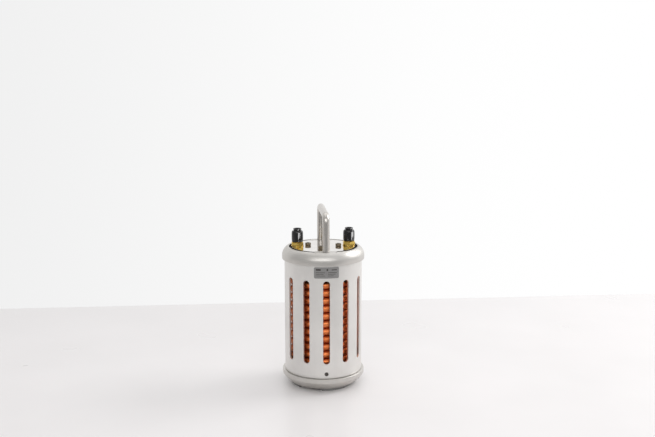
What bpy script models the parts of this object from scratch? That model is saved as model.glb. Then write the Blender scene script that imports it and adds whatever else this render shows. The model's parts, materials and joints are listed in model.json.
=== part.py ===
"""Portable slotted canister with a copper tube coil wound round a magnet core.

A slotted aluminium shell stands between a turned base and a turned cap.  Two push-in tube
ports and a bar handle sit on the cap.  The coil runs from one port to the other inside the
shell, round a stack of ring magnets in a steel sleeve.

Lengths below are millimetres.  MM turns them into Blender's metres.  The origin is on the
ground under the middle of the base, +Z is up, the rating plate and the first slot face -Y,
and the two ports stand at -X and +X.
"""

import math

import bmesh
import bpy
from mathutils import Vector

MM = 0.001
GAP = 0.3                       # clearance kept between touching pieces

# Segments round a circle
FINE = 48                       # castings and disc
MEDIUM = 24                     # ports, sleeve and other pieces of a hand's width
COARSE = 16                     # inner rings
TINY = 12                       # screws
SHELL_SIDES = 60

# Shell
SHELL_R = 57.0
SHELL_WALL = 3.0
SHELL_BOTTOM = 21.8
SHELL_TOP = 188.4
SLOT_COUNT = 12
SLOT_WIDTH = 9.8
SLOT_BOTTOM = 43.4
SLOT_TOP = 166.2

# Base and cap castings
CASTING_R = 60.6                # rim of both castings
CASTING_HEIGHT = 18.1           # rim edge to flat end
CAP_EDGE_R = 53.0               # where the cap's rounded shoulder meets its flat top
CAP_RIM_HEIGHT = 7.1
CAP_BULGE = 1.4                 # how far the shoulder stands out of a straight chamfer
BASE_EDGE_R = 48.0              # where the base's steeper shoulder meets its flat ring
BASE_RIM_HEIGHT = 5.8
BASE_BULGE = 1.0
SPIGOT_R = SHELL_R - SHELL_WALL - GAP
SPIGOT_WALL = 3.0
SPIGOT_LENGTH = 12.0
BASE_RIM_TOP = SHELL_BOTTOM - 0.5
CAP_RIM_BOTTOM = SHELL_TOP + GAP
CAP_TOP = CAP_RIM_BOTTOM + CASTING_HEIGHT
BASE_BOTTOM = BASE_RIM_TOP - CASTING_HEIGHT
BASE_WEB_BOTTOM = 12.0
BASE_WEB_TOP = 17.0
FOOT_RING_R = 39.5              # inner edge of the flat ring that the pads are glued to

# Pads under the base
PAD_COUNT = 4
PAD_ARC_DEG = 45.0
PAD_PHASE_DEG = 15.0            # turn of the first pad from the front
PAD_INNER_R = 40.5
PAD_OUTER_R = 47.0

# Cap: recess, web, handle lugs, and the disc that lies flush with an open groove round it
RECESS_R = 50.4
RECESS_DEPTH = 3.3
WEB_TOP = CAP_TOP - RECESS_DEPTH
WEB_BOTTOM = CAP_TOP - 10.8
DISC_R = 47.0
DISC_BOTTOM = WEB_TOP + GAP
DISC_TOP = CAP_TOP
NOTCH_GAP = 0.4                 # round each lug
LUG_WIDTH = 31.0
LUG_INNER_Y = 41.0
LUG_CORNER_R = 3.0

# Handle: a round bar, bent to a U, on screws through the lugs
BAR_R = 5.2
LEG_Y = 47.5
HANDLE_TOP = 263.6
BEND_R = 9.0                    # of the bar's centre line
HANDLE_SCREW_DEPTH = 12.0       # thread inside each leg

# Screws
M5_R = 2.5
M5_HEAD_R = 4.25
M5_HEAD = 5.0
M5_LOW_HEAD = 3.5               # hub screws
M5_SOCKET_R = 2.3
M3_R = 1.45
M3_HEAD_R = 2.8
M3_HEAD = 2.4
M3_LENGTH = 7.0
M3_SOCKET_R = 1.0
M3_SOCKET_DEPTH = 1.2
HUB_SCREW_R = 22.5
HUB_SCREW_PHASE_DEG = -12.0
BASE_SCREW_Z = 28.6
CAP_SCREW_Z = 182.6
RADIAL_SCREW_COUNT = 3

# Hub and magnet core
HUB_R = 27.4
HUB_TOP = WEB_BOTTOM - GAP
HUB_BOTTOM = HUB_TOP - 6.0
HUB_BOSS_R = 17.1
HUB_BOSS_BOTTOM = 180.0
SLEEVE_R = 19.0
SLEEVE_WALL = 1.5
SLEEVE_BOTTOM = 38.0
MAGNET_R = 16.8
MAGNET_BORE_R = 6.0
MAGNET_COUNT = 5
MAGNET_HEIGHT = 22.6
POLE_HEIGHT = 3.0
ROD_R = 4.0
ROD_BOTTOM = 4.2
NUT_AF = 13.0                   # tie nut across flats
NUT_HEIGHT = 5.0

# Copper coil
TUBE_R = 5.5
COIL_R = 43.4                   # centre line of the winding
COIL_PITCH = 11.4
COIL_FRONT_Z = 43.0             # centre of the lowest turn where it passes the front
COIL_START_DEG = 66.0           # counted from +X, counter-clockwise seen from above
COIL_END_DEG = 4115.0
COIL_FINISH_DEG = 4140.0        # under the left port
COIL_TAIL = 16.0                # radius of the bends from level to upright
RISER_R = 31.6                  # where the lower end climbs inside the winding
RISER_DROP = 2.2                # how far the riser starts below the winding
JOG_TOP = 182.0                 # the riser shifts inwards between these two heights
JOG_BOTTOM = 163.0
TAIL_TOP = 183.0                # the other end is upright from here
POINTS_PER_TURN = 12

# Ports
PORT_X = 38.0
PORT_HEX_AF = 17.0
WASHER_R = 9.3
WASHER_BOTTOM = DISC_TOP + GAP
WASHER_TOP = WASHER_BOTTOM + 1.0
HEX_BOTTOM = WASHER_TOP + GAP
HEX_TOP = 213.0
SHANK_R = 6.5
SHANK_BOTTOM = 187.6
BOSS_R = 6.6                    # stud's upper end inside the body
BOSS_TOP = HEX_TOP + 5.0
PORT_BORE_R = 3.0
BODY_R = 8.5
BODY_BOTTOM = HEX_TOP + GAP
BODY_TOP = 230.1
LIP_R = 5.5                     # body's mouth
LIP_BOTTOM = BODY_TOP - 2.7
GRAB_RING_Z = BODY_TOP - 8.4
SEAL_Z = HEX_TOP + 6.6
SEAL_R = 5.2
SEAL_THICK_R = 0.85
COLLAR_TOP = 233.2
COLLAR_R = 6.1
TUBE_HOLE_R = 4.15
BACK_NUT_TOP = WEB_BOTTOM - GAP
BACK_NUT_BOTTOM = 191.0
COIL_NUT_TOP = 190.6
COIL_NUT_BOTTOM = 181.6
CONE_TOP = 185.2                # the coil nut closes on its olive between these heights
CONE_BOTTOM = 183.4
OLIVE_WIDE_Z = 186.4
OLIVE_BOTTOM = 184.5
TUBE_END = 192.0

# Rating plate, curved to the shell
PLATE_WIDTH = 36.0
PLATE_BOTTOM = 170.6
PLATE_TOP = 186.8
PLATE_THICK = 0.6


# ---------------------------------------------------------------- scene and helpers

def clear_scene():
    """Remove every object that is already in the file."""
    for old in list(bpy.data.objects):
        bpy.data.objects.remove(old, do_unlink=True)


def new_collection(name):
    """Make a collection under the scene's own."""
    made = bpy.data.collections.new(name)
    bpy.context.scene.collection.children.link(made)
    return made


def new_material(name, colour, roughness, metallic):
    """Principled material with one colour (linear RGB)."""
    made = bpy.data.materials.new(name)
    made.use_nodes = True
    shader = made.node_tree.nodes["Principled BSDF"]
    shader.inputs["Base Color"].default_value = (*colour, 1.0)
    shader.inputs["Roughness"].default_value = roughness
    shader.inputs["Metallic"].default_value = metallic
    made.diffuse_color = (*colour, 1.0)
    return made


def put(obj, material):
    """Link a finished sub-part to the part's collection and give it its material."""
    PARTS.objects.link(obj)
    obj.data.materials.clear()
    obj.data.materials.append(material)
    return obj


def as_cutter(obj):
    """Link a cutter to the cutters' collection, where it neither renders nor counts."""
    CUTTERS.objects.link(obj)
    obj.hide_render = True
    obj.display_type = "WIRE"
    return obj


def smooth(mesh):
    """Smooth shading with sharp edges at real corners."""
    mesh.shade_smooth()
    mesh.set_sharp_from_angle(angle=math.radians(35))


def turned(name, outline, steps=MEDIUM):
    """Turn an outline of (radius, height) round Z.

    The outline runs down the outer side and back up the inner one.  It is closed into a
    ring, unless its two ends lie on the axis.
    """
    mesh = bpy.data.meshes.new(name)
    points = [(radius * MM, 0.0, height * MM) for radius, height in outline]
    count = len(points)
    edges = [(i, i + 1) for i in range(count - 1)]
    if outline[0][0] > 0.0 or outline[-1][0] > 0.0:
        edges.append((count - 1, 0))
    mesh.from_pydata(points, edges, [])
    obj = bpy.data.objects.new(name, mesh)
    screw = obj.modifiers.new("Turn", "SCREW")
    screw.axis = "Z"
    screw.angle = math.tau
    screw.steps = steps
    screw.render_steps = steps
    screw.use_merge_vertices = True
    screw.merge_threshold = 0.00001
    screw.use_smooth_shade = True
    return obj


def rod(name, radius, bottom, top, centre=(0.0, 0.0), sides=MEDIUM):
    """Upright cylinder or prism from bottom to top."""
    mesh = bpy.data.meshes.new(name)
    work = bmesh.new()
    bmesh.ops.create_cone(
        work, cap_ends=True, segments=sides,
        radius1=radius * MM, radius2=radius * MM, depth=(top - bottom) * MM)
    bmesh.ops.translate(
        work, verts=work.verts,
        vec=(centre[0] * MM, centre[1] * MM, (top + bottom) / 2 * MM))
    work.to_mesh(mesh)
    work.free()
    smooth(mesh)
    return bpy.data.objects.new(name, mesh)


def hexagon(name, across_flats, bottom, top):
    """Upright hexagonal prism."""
    corner_r = across_flats / 2 / math.cos(math.pi / 6)
    return rod(name, corner_r, bottom, top, sides=6)


def joined(name, objects):
    """One object from the evaluated meshes of several, which are removed."""
    work = bmesh.new()
    for obj in objects:
        if not obj.users_collection:
            CUTTERS.objects.link(obj)
    bpy.context.view_layer.update()
    graph = bpy.context.evaluated_depsgraph_get()
    for obj in objects:
        shape = bpy.data.meshes.new_from_object(obj.evaluated_get(graph))
        shape.transform(obj.matrix_world)
        work.from_mesh(shape)
        bpy.data.meshes.remove(shape)
    for obj in objects:
        bpy.data.objects.remove(obj, do_unlink=True)
    bmesh.ops.remove_doubles(work, verts=work.verts, dist=0.000001)
    mesh = bpy.data.meshes.new(name)
    work.to_mesh(mesh)
    work.free()
    smooth(mesh)
    return bpy.data.objects.new(name, mesh)


def boolean(target, other, operation):
    """Cut a tool out of a target, or weld it on.  The tool then follows its target."""
    if not other.users_collection:
        as_cutter(other)
    if other.parent is None:
        other.parent = target
    step = target.modifiers.new(operation.title(), "BOOLEAN")
    step.operation = operation
    step.solver = "EXACT"
    step.object = other
    return target


def round_about(count, radius, phase_deg=0.0):
    """Evenly spaced places (x, y, turn) on a circle, the first one at the front."""
    for i in range(count):
        turn = math.radians(phase_deg) + math.tau * i / count
        yield radius * math.sin(turn), -radius * math.cos(turn), turn


def swept(name, points, radius, sides_level):
    """Round bar or tube body along points, as a welded mesh."""
    curve = bpy.data.curves.new(name, "CURVE")
    curve.dimensions = "3D"
    curve.bevel_depth = radius * MM
    curve.bevel_resolution = sides_level
    curve.use_fill_caps = True
    spline = curve.splines.new("POLY")
    spline.points.add(len(points) - 1)
    for target, point in zip(spline.points, points):
        target.co = (point[0] * MM, point[1] * MM, point[2] * MM, 1.0)
    return joined(name, [bpy.data.objects.new(name + "_path", curve)])


# ---------------------------------------------------------------- outlines

def shoulder(edge_r, rim_height, most_bulge, steps=5):
    """Rounded shoulder as (radius, distance from the flat end), flat end first.

    It is a shallow arc between the flat end's edge and the rim, that bulges outwards.
    """
    start = Vector((edge_r, 0.0))
    end = Vector((CASTING_R, CASTING_HEIGHT - rim_height))
    along = end - start
    outward = Vector((along.y, -along.x)).normalized()
    points = []
    for i in range(steps + 1):
        share = i / steps
        bulge = 4 * share * (1 - share) * most_bulge
        points.append(start + along * share + outward * bulge)
    return [(point.x, point.y) for point in points]


def stadium(width, length, steps=6):
    """Outline with round ends, upright, centred on the origin."""
    radius = width / 2
    reach = length / 2 - radius
    points = []
    for i in range(steps + 1):
        angle = math.pi * i / steps
        points.append((radius * math.cos(angle), reach + radius * math.sin(angle)))
    for i in range(steps + 1):
        angle = math.pi + math.pi * i / steps
        points.append((radius * math.cos(angle), -reach + radius * math.sin(angle)))
    return points


def flat_outline(name, points, thickness):
    """Plate from a closed flat outline in XY, thickness centred on Z=0, as a mesh object."""
    curve = bpy.data.curves.new(name, "CURVE")
    curve.dimensions = "2D"
    curve.fill_mode = "BOTH"
    curve.extrude = thickness / 2 * MM
    spline = curve.splines.new("POLY")
    spline.points.add(len(points) - 1)
    for target, (x, y) in zip(spline.points, points):
        target.co = (x * MM, y * MM, 0.0, 1.0)
    spline.use_cyclic_u = True
    return joined(name, [bpy.data.objects.new(name + "_flat", curve)])


# ---------------------------------------------------------------- shell and castings

def radial_holes(name, height):
    """Stepped cutters for the countersunk screws between the shell and a spigot."""
    tools = []
    for i in range(RADIAL_SCREW_COUNT):
        tool = turned(f"{name}_{i}", [
            (0.0, 4.0), (M3_HEAD_R + GAP, 4.0), (M3_HEAD_R + GAP, -SHELL_WALL + 1.0),
            (M3_R + GAP, -SHELL_WALL + 0.4), (M3_R + GAP, -12.0), (0.0, -12.0)], steps=TINY)
        place_radial(tool, i, height)
        tools.append(tool)
    return as_cutter(joined(name, tools))


def place_radial(obj, index, height):
    """Turn a piece made along +Z so that it points out of the shell, at a screw's place."""
    turn = math.tau * index / RADIAL_SCREW_COUNT
    out = Vector((math.sin(turn), -math.cos(turn), 0.0))
    obj.rotation_mode = "QUATERNION"
    obj.rotation_quaternion = out.to_track_quat("Z", "Y")
    obj.location = out * SHELL_R * MM + Vector((0.0, 0.0, height * MM))


def make_shell():
    """Slotted tube."""
    inner = SHELL_R - SHELL_WALL
    shell = turned("shell_tube", [
        (SHELL_R, SHELL_TOP), (SHELL_R, SHELL_BOTTOM),
        (inner, SHELL_BOTTOM), (inner, SHELL_TOP)], steps=SHELL_SIDES)
    slots = []
    for x, y, turn in round_about(SLOT_COUNT, SHELL_R):
        slot = flat_outline("slot", stadium(SLOT_WIDTH, SLOT_TOP - SLOT_BOTTOM), 12.0)
        slot.rotation_euler = (math.pi / 2, 0.0, turn)
        slot.location = (x * MM, y * MM, (SLOT_TOP + SLOT_BOTTOM) / 2 * MM)
        slots.append(slot)
    boolean(shell, as_cutter(joined("slots", slots)), "DIFFERENCE")
    boolean(shell, BASE_HOLES, "DIFFERENCE")
    boolean(shell, CAP_HOLES, "DIFFERENCE")
    return put(shell, ANODISED)


def make_base():
    """Turned base: flat ring, rounded shoulder, rim, spigot into the shell, inner web."""
    inner = SPIGOT_R - SPIGOT_WALL
    spigot_top = BASE_RIM_TOP + SPIGOT_LENGTH
    outline = [(inner, spigot_top), (SPIGOT_R, spigot_top), (SPIGOT_R, BASE_RIM_TOP),
               (CASTING_R, BASE_RIM_TOP)]
    outline += [(radius, BASE_BOTTOM + depth) for radius, depth in
                reversed(shoulder(BASE_EDGE_R, BASE_RIM_HEIGHT, BASE_BULGE))]
    outline += [(FOOT_RING_R, BASE_BOTTOM), (FOOT_RING_R, BASE_WEB_BOTTOM),
                (ROD_R + GAP, BASE_WEB_BOTTOM), (ROD_R + GAP, BASE_WEB_TOP),
                (inner, BASE_WEB_TOP)]
    base = turned("base_cap", outline, steps=FINE)
    boolean(base, BASE_HOLES, "DIFFERENCE")
    return put(base, CAST)


def make_pads():
    """Four arc-shaped pads under the base."""
    half = math.radians(PAD_ARC_DEG) / 2
    steps = 6
    places = round_about(PAD_COUNT, 1.0, PAD_PHASE_DEG)
    for number, (_, _, turn) in enumerate(places, start=1):
        angles = [turn - half + 2 * half * i / steps for i in range(steps + 1)]
        outline = [(PAD_OUTER_R * math.sin(a), -PAD_OUTER_R * math.cos(a)) for a in angles]
        outline += [(PAD_INNER_R * math.sin(a), -PAD_INNER_R * math.cos(a))
                    for a in reversed(angles)]
        pad = flat_outline(f"foot_pad_{number}", outline, BASE_BOTTOM - GAP)
        pad.location.z = (BASE_BOTTOM - GAP) / 2 * MM
        put(pad, RUBBER)


def lug(name, side, grow, bottom, top):
    """Block with rounded inner corners that the handle's leg stands on."""
    half = LUG_WIDTH / 2 + grow
    inner = LUG_INNER_Y - grow
    outer = RECESS_R + 1.2
    corner = LUG_CORNER_R
    points = [(-half, outer), (half, outer)]
    for i in range(7):
        angle = -math.pi / 2 * i / 6
        points.append((half - corner + corner * math.cos(angle),
                       inner + corner + corner * math.sin(angle)))
    for i in range(7):
        angle = -math.pi / 2 - math.pi / 2 * i / 6
        points.append((-half + corner + corner * math.cos(angle),
                       inner + corner + corner * math.sin(angle)))
    block = flat_outline(name, [(x * side, y * side) for x, y in points], top - bottom)
    block.location.z = (top + bottom) / 2 * MM
    return block


def make_cap():
    """Turned cap with its recess, two lugs, web, spigot and drilled holes."""
    inner = SPIGOT_R - SPIGOT_WALL
    spigot_bottom = CAP_RIM_BOTTOM - SPIGOT_LENGTH
    outline = [(radius, CAP_TOP - depth) for radius, depth in
               shoulder(CAP_EDGE_R, CAP_RIM_HEIGHT, CAP_BULGE)]
    outline += [(CASTING_R, CAP_RIM_BOTTOM), (SPIGOT_R, CAP_RIM_BOTTOM),
                (SPIGOT_R, spigot_bottom), (inner, spigot_bottom), (inner, WEB_BOTTOM),
                (0.0, WEB_BOTTOM)]
    outline = [(0.0, WEB_TOP), (RECESS_R, WEB_TOP), (RECESS_R, CAP_TOP)] + outline
    cap = turned("top_cap", outline, steps=FINE)
    lugs = [lug("lug", side, 0.0, WEB_TOP - 1.0, CAP_TOP) for side in (-1, 1)]
    boolean(cap, joined("lugs", lugs), "UNION")
    holes = [rod("port_hole", SHANK_R + GAP, WEB_BOTTOM - 5, CAP_TOP + 5, (side * PORT_X, 0))
             for side in (-1, 1)]
    holes += [rod("hub_hole", M5_R + GAP, WEB_BOTTOM - 5, CAP_TOP + 5, (x, y), sides=TINY)
              for x, y, _ in round_about(4, HUB_SCREW_R, HUB_SCREW_PHASE_DEG)]
    boolean(cap, as_cutter(joined("cap_holes", holes)), "DIFFERENCE")
    handle_holes = []
    for side in (-1, 1):
        hole = rod("handle_hole", M5_R + GAP, WEB_BOTTOM - 1, CAP_TOP + 5,
                   (0, side * LEG_Y), sides=TINY)
        handle_holes.append(hole)
    boolean(cap, as_cutter(joined("handle_holes", handle_holes)), "DIFFERENCE")
    pockets = [rod("head_pocket", M5_HEAD_R + 0.5, spigot_bottom - 2, WEB_BOTTOM,
                   (0, side * LEG_Y)) for side in (-1, 1)]
    boolean(cap, as_cutter(joined("head_pockets", pockets)), "DIFFERENCE")
    boolean(cap, CAP_HOLES, "DIFFERENCE")
    return put(cap, CAST)


def make_disc():
    """Polished cover disc in the cap's recess, notched round the lugs."""
    disc = turned("cover_disc", [
        (0.0, DISC_TOP), (DISC_R, DISC_TOP), (DISC_R, DISC_BOTTOM), (0.0, DISC_BOTTOM)],
        steps=FINE)
    notches = [lug("notch", side, NOTCH_GAP, DISC_BOTTOM - 2, DISC_TOP + 2)
               for side in (-1, 1)]
    holes = [rod("port_hole", SHANK_R + GAP, DISC_BOTTOM - 5, DISC_TOP + 5,
                 (side * PORT_X, 0)) for side in (-1, 1)]
    holes += [rod("hub_hole", M5_R + GAP, DISC_BOTTOM - 5, DISC_TOP + 5, (x, y), sides=TINY)
              for x, y, _ in round_about(4, HUB_SCREW_R, HUB_SCREW_PHASE_DEG)]
    boolean(disc, as_cutter(joined("disc_cuts", notches + holes)), "DIFFERENCE")
    return put(disc, POLISHED)


def make_rating_plate():
    """Thin plate curved to the shell: a bent grid made solid."""
    mesh = bpy.data.meshes.new("rating_plate")
    work = bmesh.new()
    columns = 12
    bmesh.ops.create_grid(work, x_segments=columns, y_segments=1, size=1.0)
    radius = SHELL_R + GAP
    half_turn = PLATE_WIDTH / 2 / radius
    middle = (PLATE_TOP + PLATE_BOTTOM) / 2
    half_height = (PLATE_TOP - PLATE_BOTTOM) / 2
    for vert in work.verts:
        turn = vert.co.x * half_turn
        height = middle + vert.co.y * half_height
        vert.co = Vector((radius * math.sin(turn), -radius * math.cos(turn), height)) * MM
    work.to_mesh(mesh)
    work.free()
    plate = bpy.data.objects.new("rating_plate", mesh)
    solid = plate.modifiers.new("Thickness", "SOLIDIFY")
    solid.thickness = PLATE_THICK * MM
    solid.offset = 1.0
    return put(plate, PLATE_GREY)


# ---------------------------------------------------------------- handle and screws

def make_handle():
    """Round bar bent to a U, tapped at both feet."""
    foot = CAP_TOP + GAP
    top = HANDLE_TOP - BAR_R
    points = [(0.0, -LEG_Y, foot)]
    for i in range(7):
        angle = math.pi - math.pi / 2 * i / 6
        points.append((0.0, -LEG_Y + BEND_R + BEND_R * math.cos(angle),
                       top - BEND_R + BEND_R * math.sin(angle)))
    for i in range(7):
        angle = math.pi / 2 - math.pi / 2 * i / 6
        points.append((0.0, LEG_Y - BEND_R + BEND_R * math.cos(angle),
                       top - BEND_R + BEND_R * math.sin(angle)))
    points.append((0.0, LEG_Y, foot))
    handle = swept("handle", points, BAR_R, 5)
    taps = [rod("tap", M5_R + GAP, foot - 2, foot + HANDLE_SCREW_DEPTH + 1,
                (0, side * LEG_Y), sides=TINY) for side in (-1, 1)]
    boolean(handle, as_cutter(joined("handle_taps", taps)), "DIFFERENCE")
    return put(handle, ANODISED)


def cap_screw(name, shank_bottom, head_bottom, centre, head=M5_HEAD, upward=False):
    """Socket cap screw: shank, head and a blind hexagon socket.

    An upward screw has its head below its shank, as the handle's screws do.
    """
    x, y = centre
    socket = head * 0.55
    if upward:
        outline = [(0.0, shank_bottom), (M5_R, shank_bottom), (M5_R, head_bottom),
                   (M5_HEAD_R, head_bottom), (M5_HEAD_R, head_bottom - head),
                   (M5_SOCKET_R, head_bottom - head),
                   (M5_SOCKET_R, head_bottom - head + socket),
                   (0.0, head_bottom - head + socket)]
    else:
        head_top = head_bottom + head
        outline = [(0.0, head_top - socket), (M5_SOCKET_R, head_top - socket),
                   (M5_SOCKET_R, head_top), (M5_HEAD_R, head_top),
                   (M5_HEAD_R, head_bottom), (M5_R, head_bottom), (M5_R, shank_bottom),
                   (0.0, shank_bottom)]
    screw = turned(name, outline, steps=TINY)
    screw.location = (x * MM, y * MM, 0.0)
    return screw


def make_screws():
    """Hub screws, handle screws and the two sets of countersunk radial screws."""
    places = round_about(4, HUB_SCREW_R, HUB_SCREW_PHASE_DEG)
    for number, (x, y, _) in enumerate(places, start=1):
        put(cap_screw(f"hub_screw_{number}", HUB_BOTTOM + 1.0, DISC_TOP + GAP, (x, y),
                      head=M5_LOW_HEAD), STEEL)
    for side, label in ((-1, "front"), (1, "rear")):
        put(cap_screw(f"handle_screw_{label}", CAP_TOP + HANDLE_SCREW_DEPTH,
                      WEB_BOTTOM - GAP, (0.0, side * LEG_Y), upward=True), STEEL)
    for name, height in (("base_screw", BASE_SCREW_Z), ("cap_screw", CAP_SCREW_Z)):
        for i in range(RADIAL_SCREW_COUNT):
            screw = turned(f"{name}_{i + 1}", [
                (0.0, -M3_SOCKET_DEPTH), (M3_SOCKET_R, -M3_SOCKET_DEPTH), (M3_SOCKET_R, 0.0),
                (M3_HEAD_R, 0.0), (M3_HEAD_R, -M3_HEAD / 2), (M3_R, -M3_HEAD),
                (M3_R, -M3_LENGTH), (0.0, -M3_LENGTH)], steps=TINY)
            place_radial(screw, i, height)
            put(screw, BLACK_STEEL)


# ---------------------------------------------------------------- hub and magnet core

def make_core():
    """Hub, sleeve, magnets, pole plates, end plug and the tie rod through them."""
    hub = turned("hub_flange", [
        (0.0, HUB_TOP), (HUB_R, HUB_TOP), (HUB_R, HUB_BOTTOM), (HUB_BOSS_R, HUB_BOTTOM),
        (HUB_BOSS_R, HUB_BOSS_BOTTOM), (ROD_R + GAP, HUB_BOSS_BOTTOM),
        (ROD_R + GAP, HUB_TOP - 2.0), (0.0, HUB_TOP - 2.0)])
    holes = [rod("hub_tap", M5_R + GAP, HUB_BOTTOM - 5, HUB_TOP + 5, (x, y), sides=TINY)
             for x, y, _ in round_about(4, HUB_SCREW_R, HUB_SCREW_PHASE_DEG)]
    boolean(hub, as_cutter(joined("hub_taps", holes)), "DIFFERENCE")
    put(hub, CAST)

    sleeve_top = HUB_BOTTOM - GAP
    inner = SLEEVE_R - SLEEVE_WALL
    put(turned("core_sleeve", [
        (SLEEVE_R, sleeve_top), (SLEEVE_R, SLEEVE_BOTTOM), (inner, SLEEVE_BOTTOM),
        (inner, sleeve_top)]), STEEL)

    plug_top = SLEEVE_BOTTOM + 6.0
    plug_bottom = SLEEVE_BOTTOM - 4.0
    put(turned("core_plug", [
        (inner - GAP, plug_top), (inner - GAP, SLEEVE_BOTTOM - GAP),
        (SLEEVE_R, SLEEVE_BOTTOM - GAP), (SLEEVE_R, plug_bottom),
        (ROD_R + GAP, plug_bottom), (ROD_R + GAP, plug_top)]), STEEL)

    height = plug_top + GAP
    for number in range(1, MAGNET_COUNT + 2):
        put(turned(f"pole_plate_{number}", [
            (MAGNET_R, height + POLE_HEIGHT), (MAGNET_R, height), (MAGNET_BORE_R, height),
            (MAGNET_BORE_R, height + POLE_HEIGHT)], steps=COARSE), STEEL)
        height += POLE_HEIGHT + GAP
        if number <= MAGNET_COUNT:
            put(turned(f"ring_magnet_{number}", [
                (MAGNET_R, height + MAGNET_HEIGHT), (MAGNET_R, height),
                (MAGNET_BORE_R, height), (MAGNET_BORE_R, height + MAGNET_HEIGHT)],
                steps=COARSE), NICKEL)
            height += MAGNET_HEIGHT + GAP

    put(turned("tie_rod", [
        (0.0, HUB_TOP - 2.5), (ROD_R, HUB_TOP - 2.5), (ROD_R, ROD_BOTTOM),
        (0.0, ROD_BOTTOM)], steps=TINY), STEEL)
    put(turned("core_spacer", [
        (8.0, plug_bottom - GAP), (8.0, BASE_WEB_TOP + GAP), (ROD_R + GAP, BASE_WEB_TOP + GAP),
        (ROD_R + GAP, plug_bottom - GAP)], steps=COARSE), ANODISED)
    washer_top = BASE_WEB_BOTTOM - GAP
    washer_bottom = washer_top - 1.2
    put(turned("tie_washer", [
        (8.5, washer_top), (8.5, washer_bottom), (ROD_R + GAP, washer_bottom),
        (ROD_R + GAP, washer_top)], steps=COARSE), STEEL)
    nut_top = washer_bottom - GAP
    nut = hexagon("tie_nut", NUT_AF, nut_top - NUT_HEIGHT, nut_top)
    bore = as_cutter(rod("tie_nut_bore", ROD_R + GAP, 0.0, nut_top + 5, sides=TINY))
    boolean(nut, bore, "DIFFERENCE")
    put(nut, STEEL)


# ---------------------------------------------------------------- coil

def on_winding(angle_deg, radius, height):
    """Point at an angle counted from +X."""
    angle = math.radians(angle_deg)
    return Vector((radius * math.cos(angle), radius * math.sin(angle), height))


def helix_height(angle_deg):
    """Height of the winding's centre line at an angle."""
    return COIL_FRONT_Z + COIL_PITCH * (angle_deg - 270.0) / 360.0


def eased(share):
    """0 to 1 with no kink at either end."""
    return share * share * (3 - 2 * share)


def coil_route():
    """Centre line: riser from the right port, the winding, and the tail to the left port."""
    start_z = helix_height(COIL_START_DEG)
    end_z = helix_height(COIL_END_DEG)
    foot_z = start_z - RISER_DROP
    points = [Vector((PORT_X, 0.0, TUBE_END)), Vector((PORT_X, 0.0, JOG_TOP))]
    for i in range(1, 8):
        share = i / 8
        x = PORT_X + (RISER_R - PORT_X) * eased(share)
        points.append(Vector((x, 0.0, JOG_TOP + (JOG_BOTTOM - JOG_TOP) * share)))
    points.append(Vector((RISER_R, 0.0, JOG_BOTTOM)))
    points.append(Vector((RISER_R, 0.0, (JOG_BOTTOM + foot_z) / 2)))
    turned_deg = math.degrees(COIL_TAIL / RISER_R)
    for i in range(9):
        angle = math.pi / 2 * i / 8
        points.append(on_winding(turned_deg * (1 - math.cos(angle)), RISER_R,
                                 foot_z + COIL_TAIL * (1 - math.sin(angle))))
    spread = COIL_START_DEG - turned_deg
    for i in range(1, 10):
        share = i / 10
        points.append(on_winding(turned_deg + spread * share,
                                 RISER_R + (COIL_R - RISER_R) * eased(share),
                                 foot_z + (start_z - foot_z) * share))
    count = round((COIL_END_DEG - COIL_START_DEG) / 360 * POINTS_PER_TURN)
    for i in range(count + 1):
        angle = COIL_START_DEG + (COIL_END_DEG - COIL_START_DEG) * i / count
        points.append(on_winding(angle, COIL_R, helix_height(angle)))
    reach = COIL_FINISH_DEG - COIL_END_DEG
    for i in range(1, 9):
        angle = math.pi / 2 * i / 8
        points.append(on_winding(COIL_END_DEG + reach * math.sin(angle),
                                 COIL_R + (PORT_X - COIL_R) * eased(i / 8),
                                 end_z + COIL_TAIL * (1 - math.cos(angle))))
    points.append(Vector((-PORT_X, 0.0, TAIL_TOP)))
    points.append(Vector((-PORT_X, 0.0, TUBE_END)))
    return points


def make_coil():
    """Copper tube, closed at its ends by its caps."""
    return put(swept("copper_coil", coil_route(), TUBE_R, 2), COPPER)


# ---------------------------------------------------------------- ports

def bored_hexagon(name, bottom, top, outline):
    """Hexagon nut whose inside is cut by a turned tool."""
    nut = hexagon(name, PORT_HEX_AF, bottom, top)
    boolean(nut, as_cutter(turned(name + "_bore", outline, steps=COARSE)), "DIFFERENCE")
    return nut


def make_stud(name):
    """Brass stud: hexagon, threaded shank below, collar boss above, bored through."""
    counterbore = TUBE_END + GAP
    shaft = turned(name, [
        (0.0, BOSS_TOP), (BOSS_R, BOSS_TOP), (BOSS_R, HEX_TOP - 1.0),
        (SHANK_R, HEX_TOP - 1.0), (SHANK_R, SHANK_BOTTOM), (0.0, SHANK_BOTTOM)], steps=COARSE)
    boolean(shaft, hexagon(name + "_hex", PORT_HEX_AF, HEX_BOTTOM, HEX_TOP), "UNION")
    bore = turned(name + "_bore", [
        (0.0, BOSS_TOP + 4.0), (PORT_BORE_R, BOSS_TOP + 4.0), (PORT_BORE_R, counterbore),
        (TUBE_R + GAP, counterbore), (TUBE_R + GAP, SHANK_BOTTOM - 4.0),
        (0.0, SHANK_BOTTOM - 4.0)], steps=COARSE)
    return boolean(shaft, as_cutter(bore), "DIFFERENCE")


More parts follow.
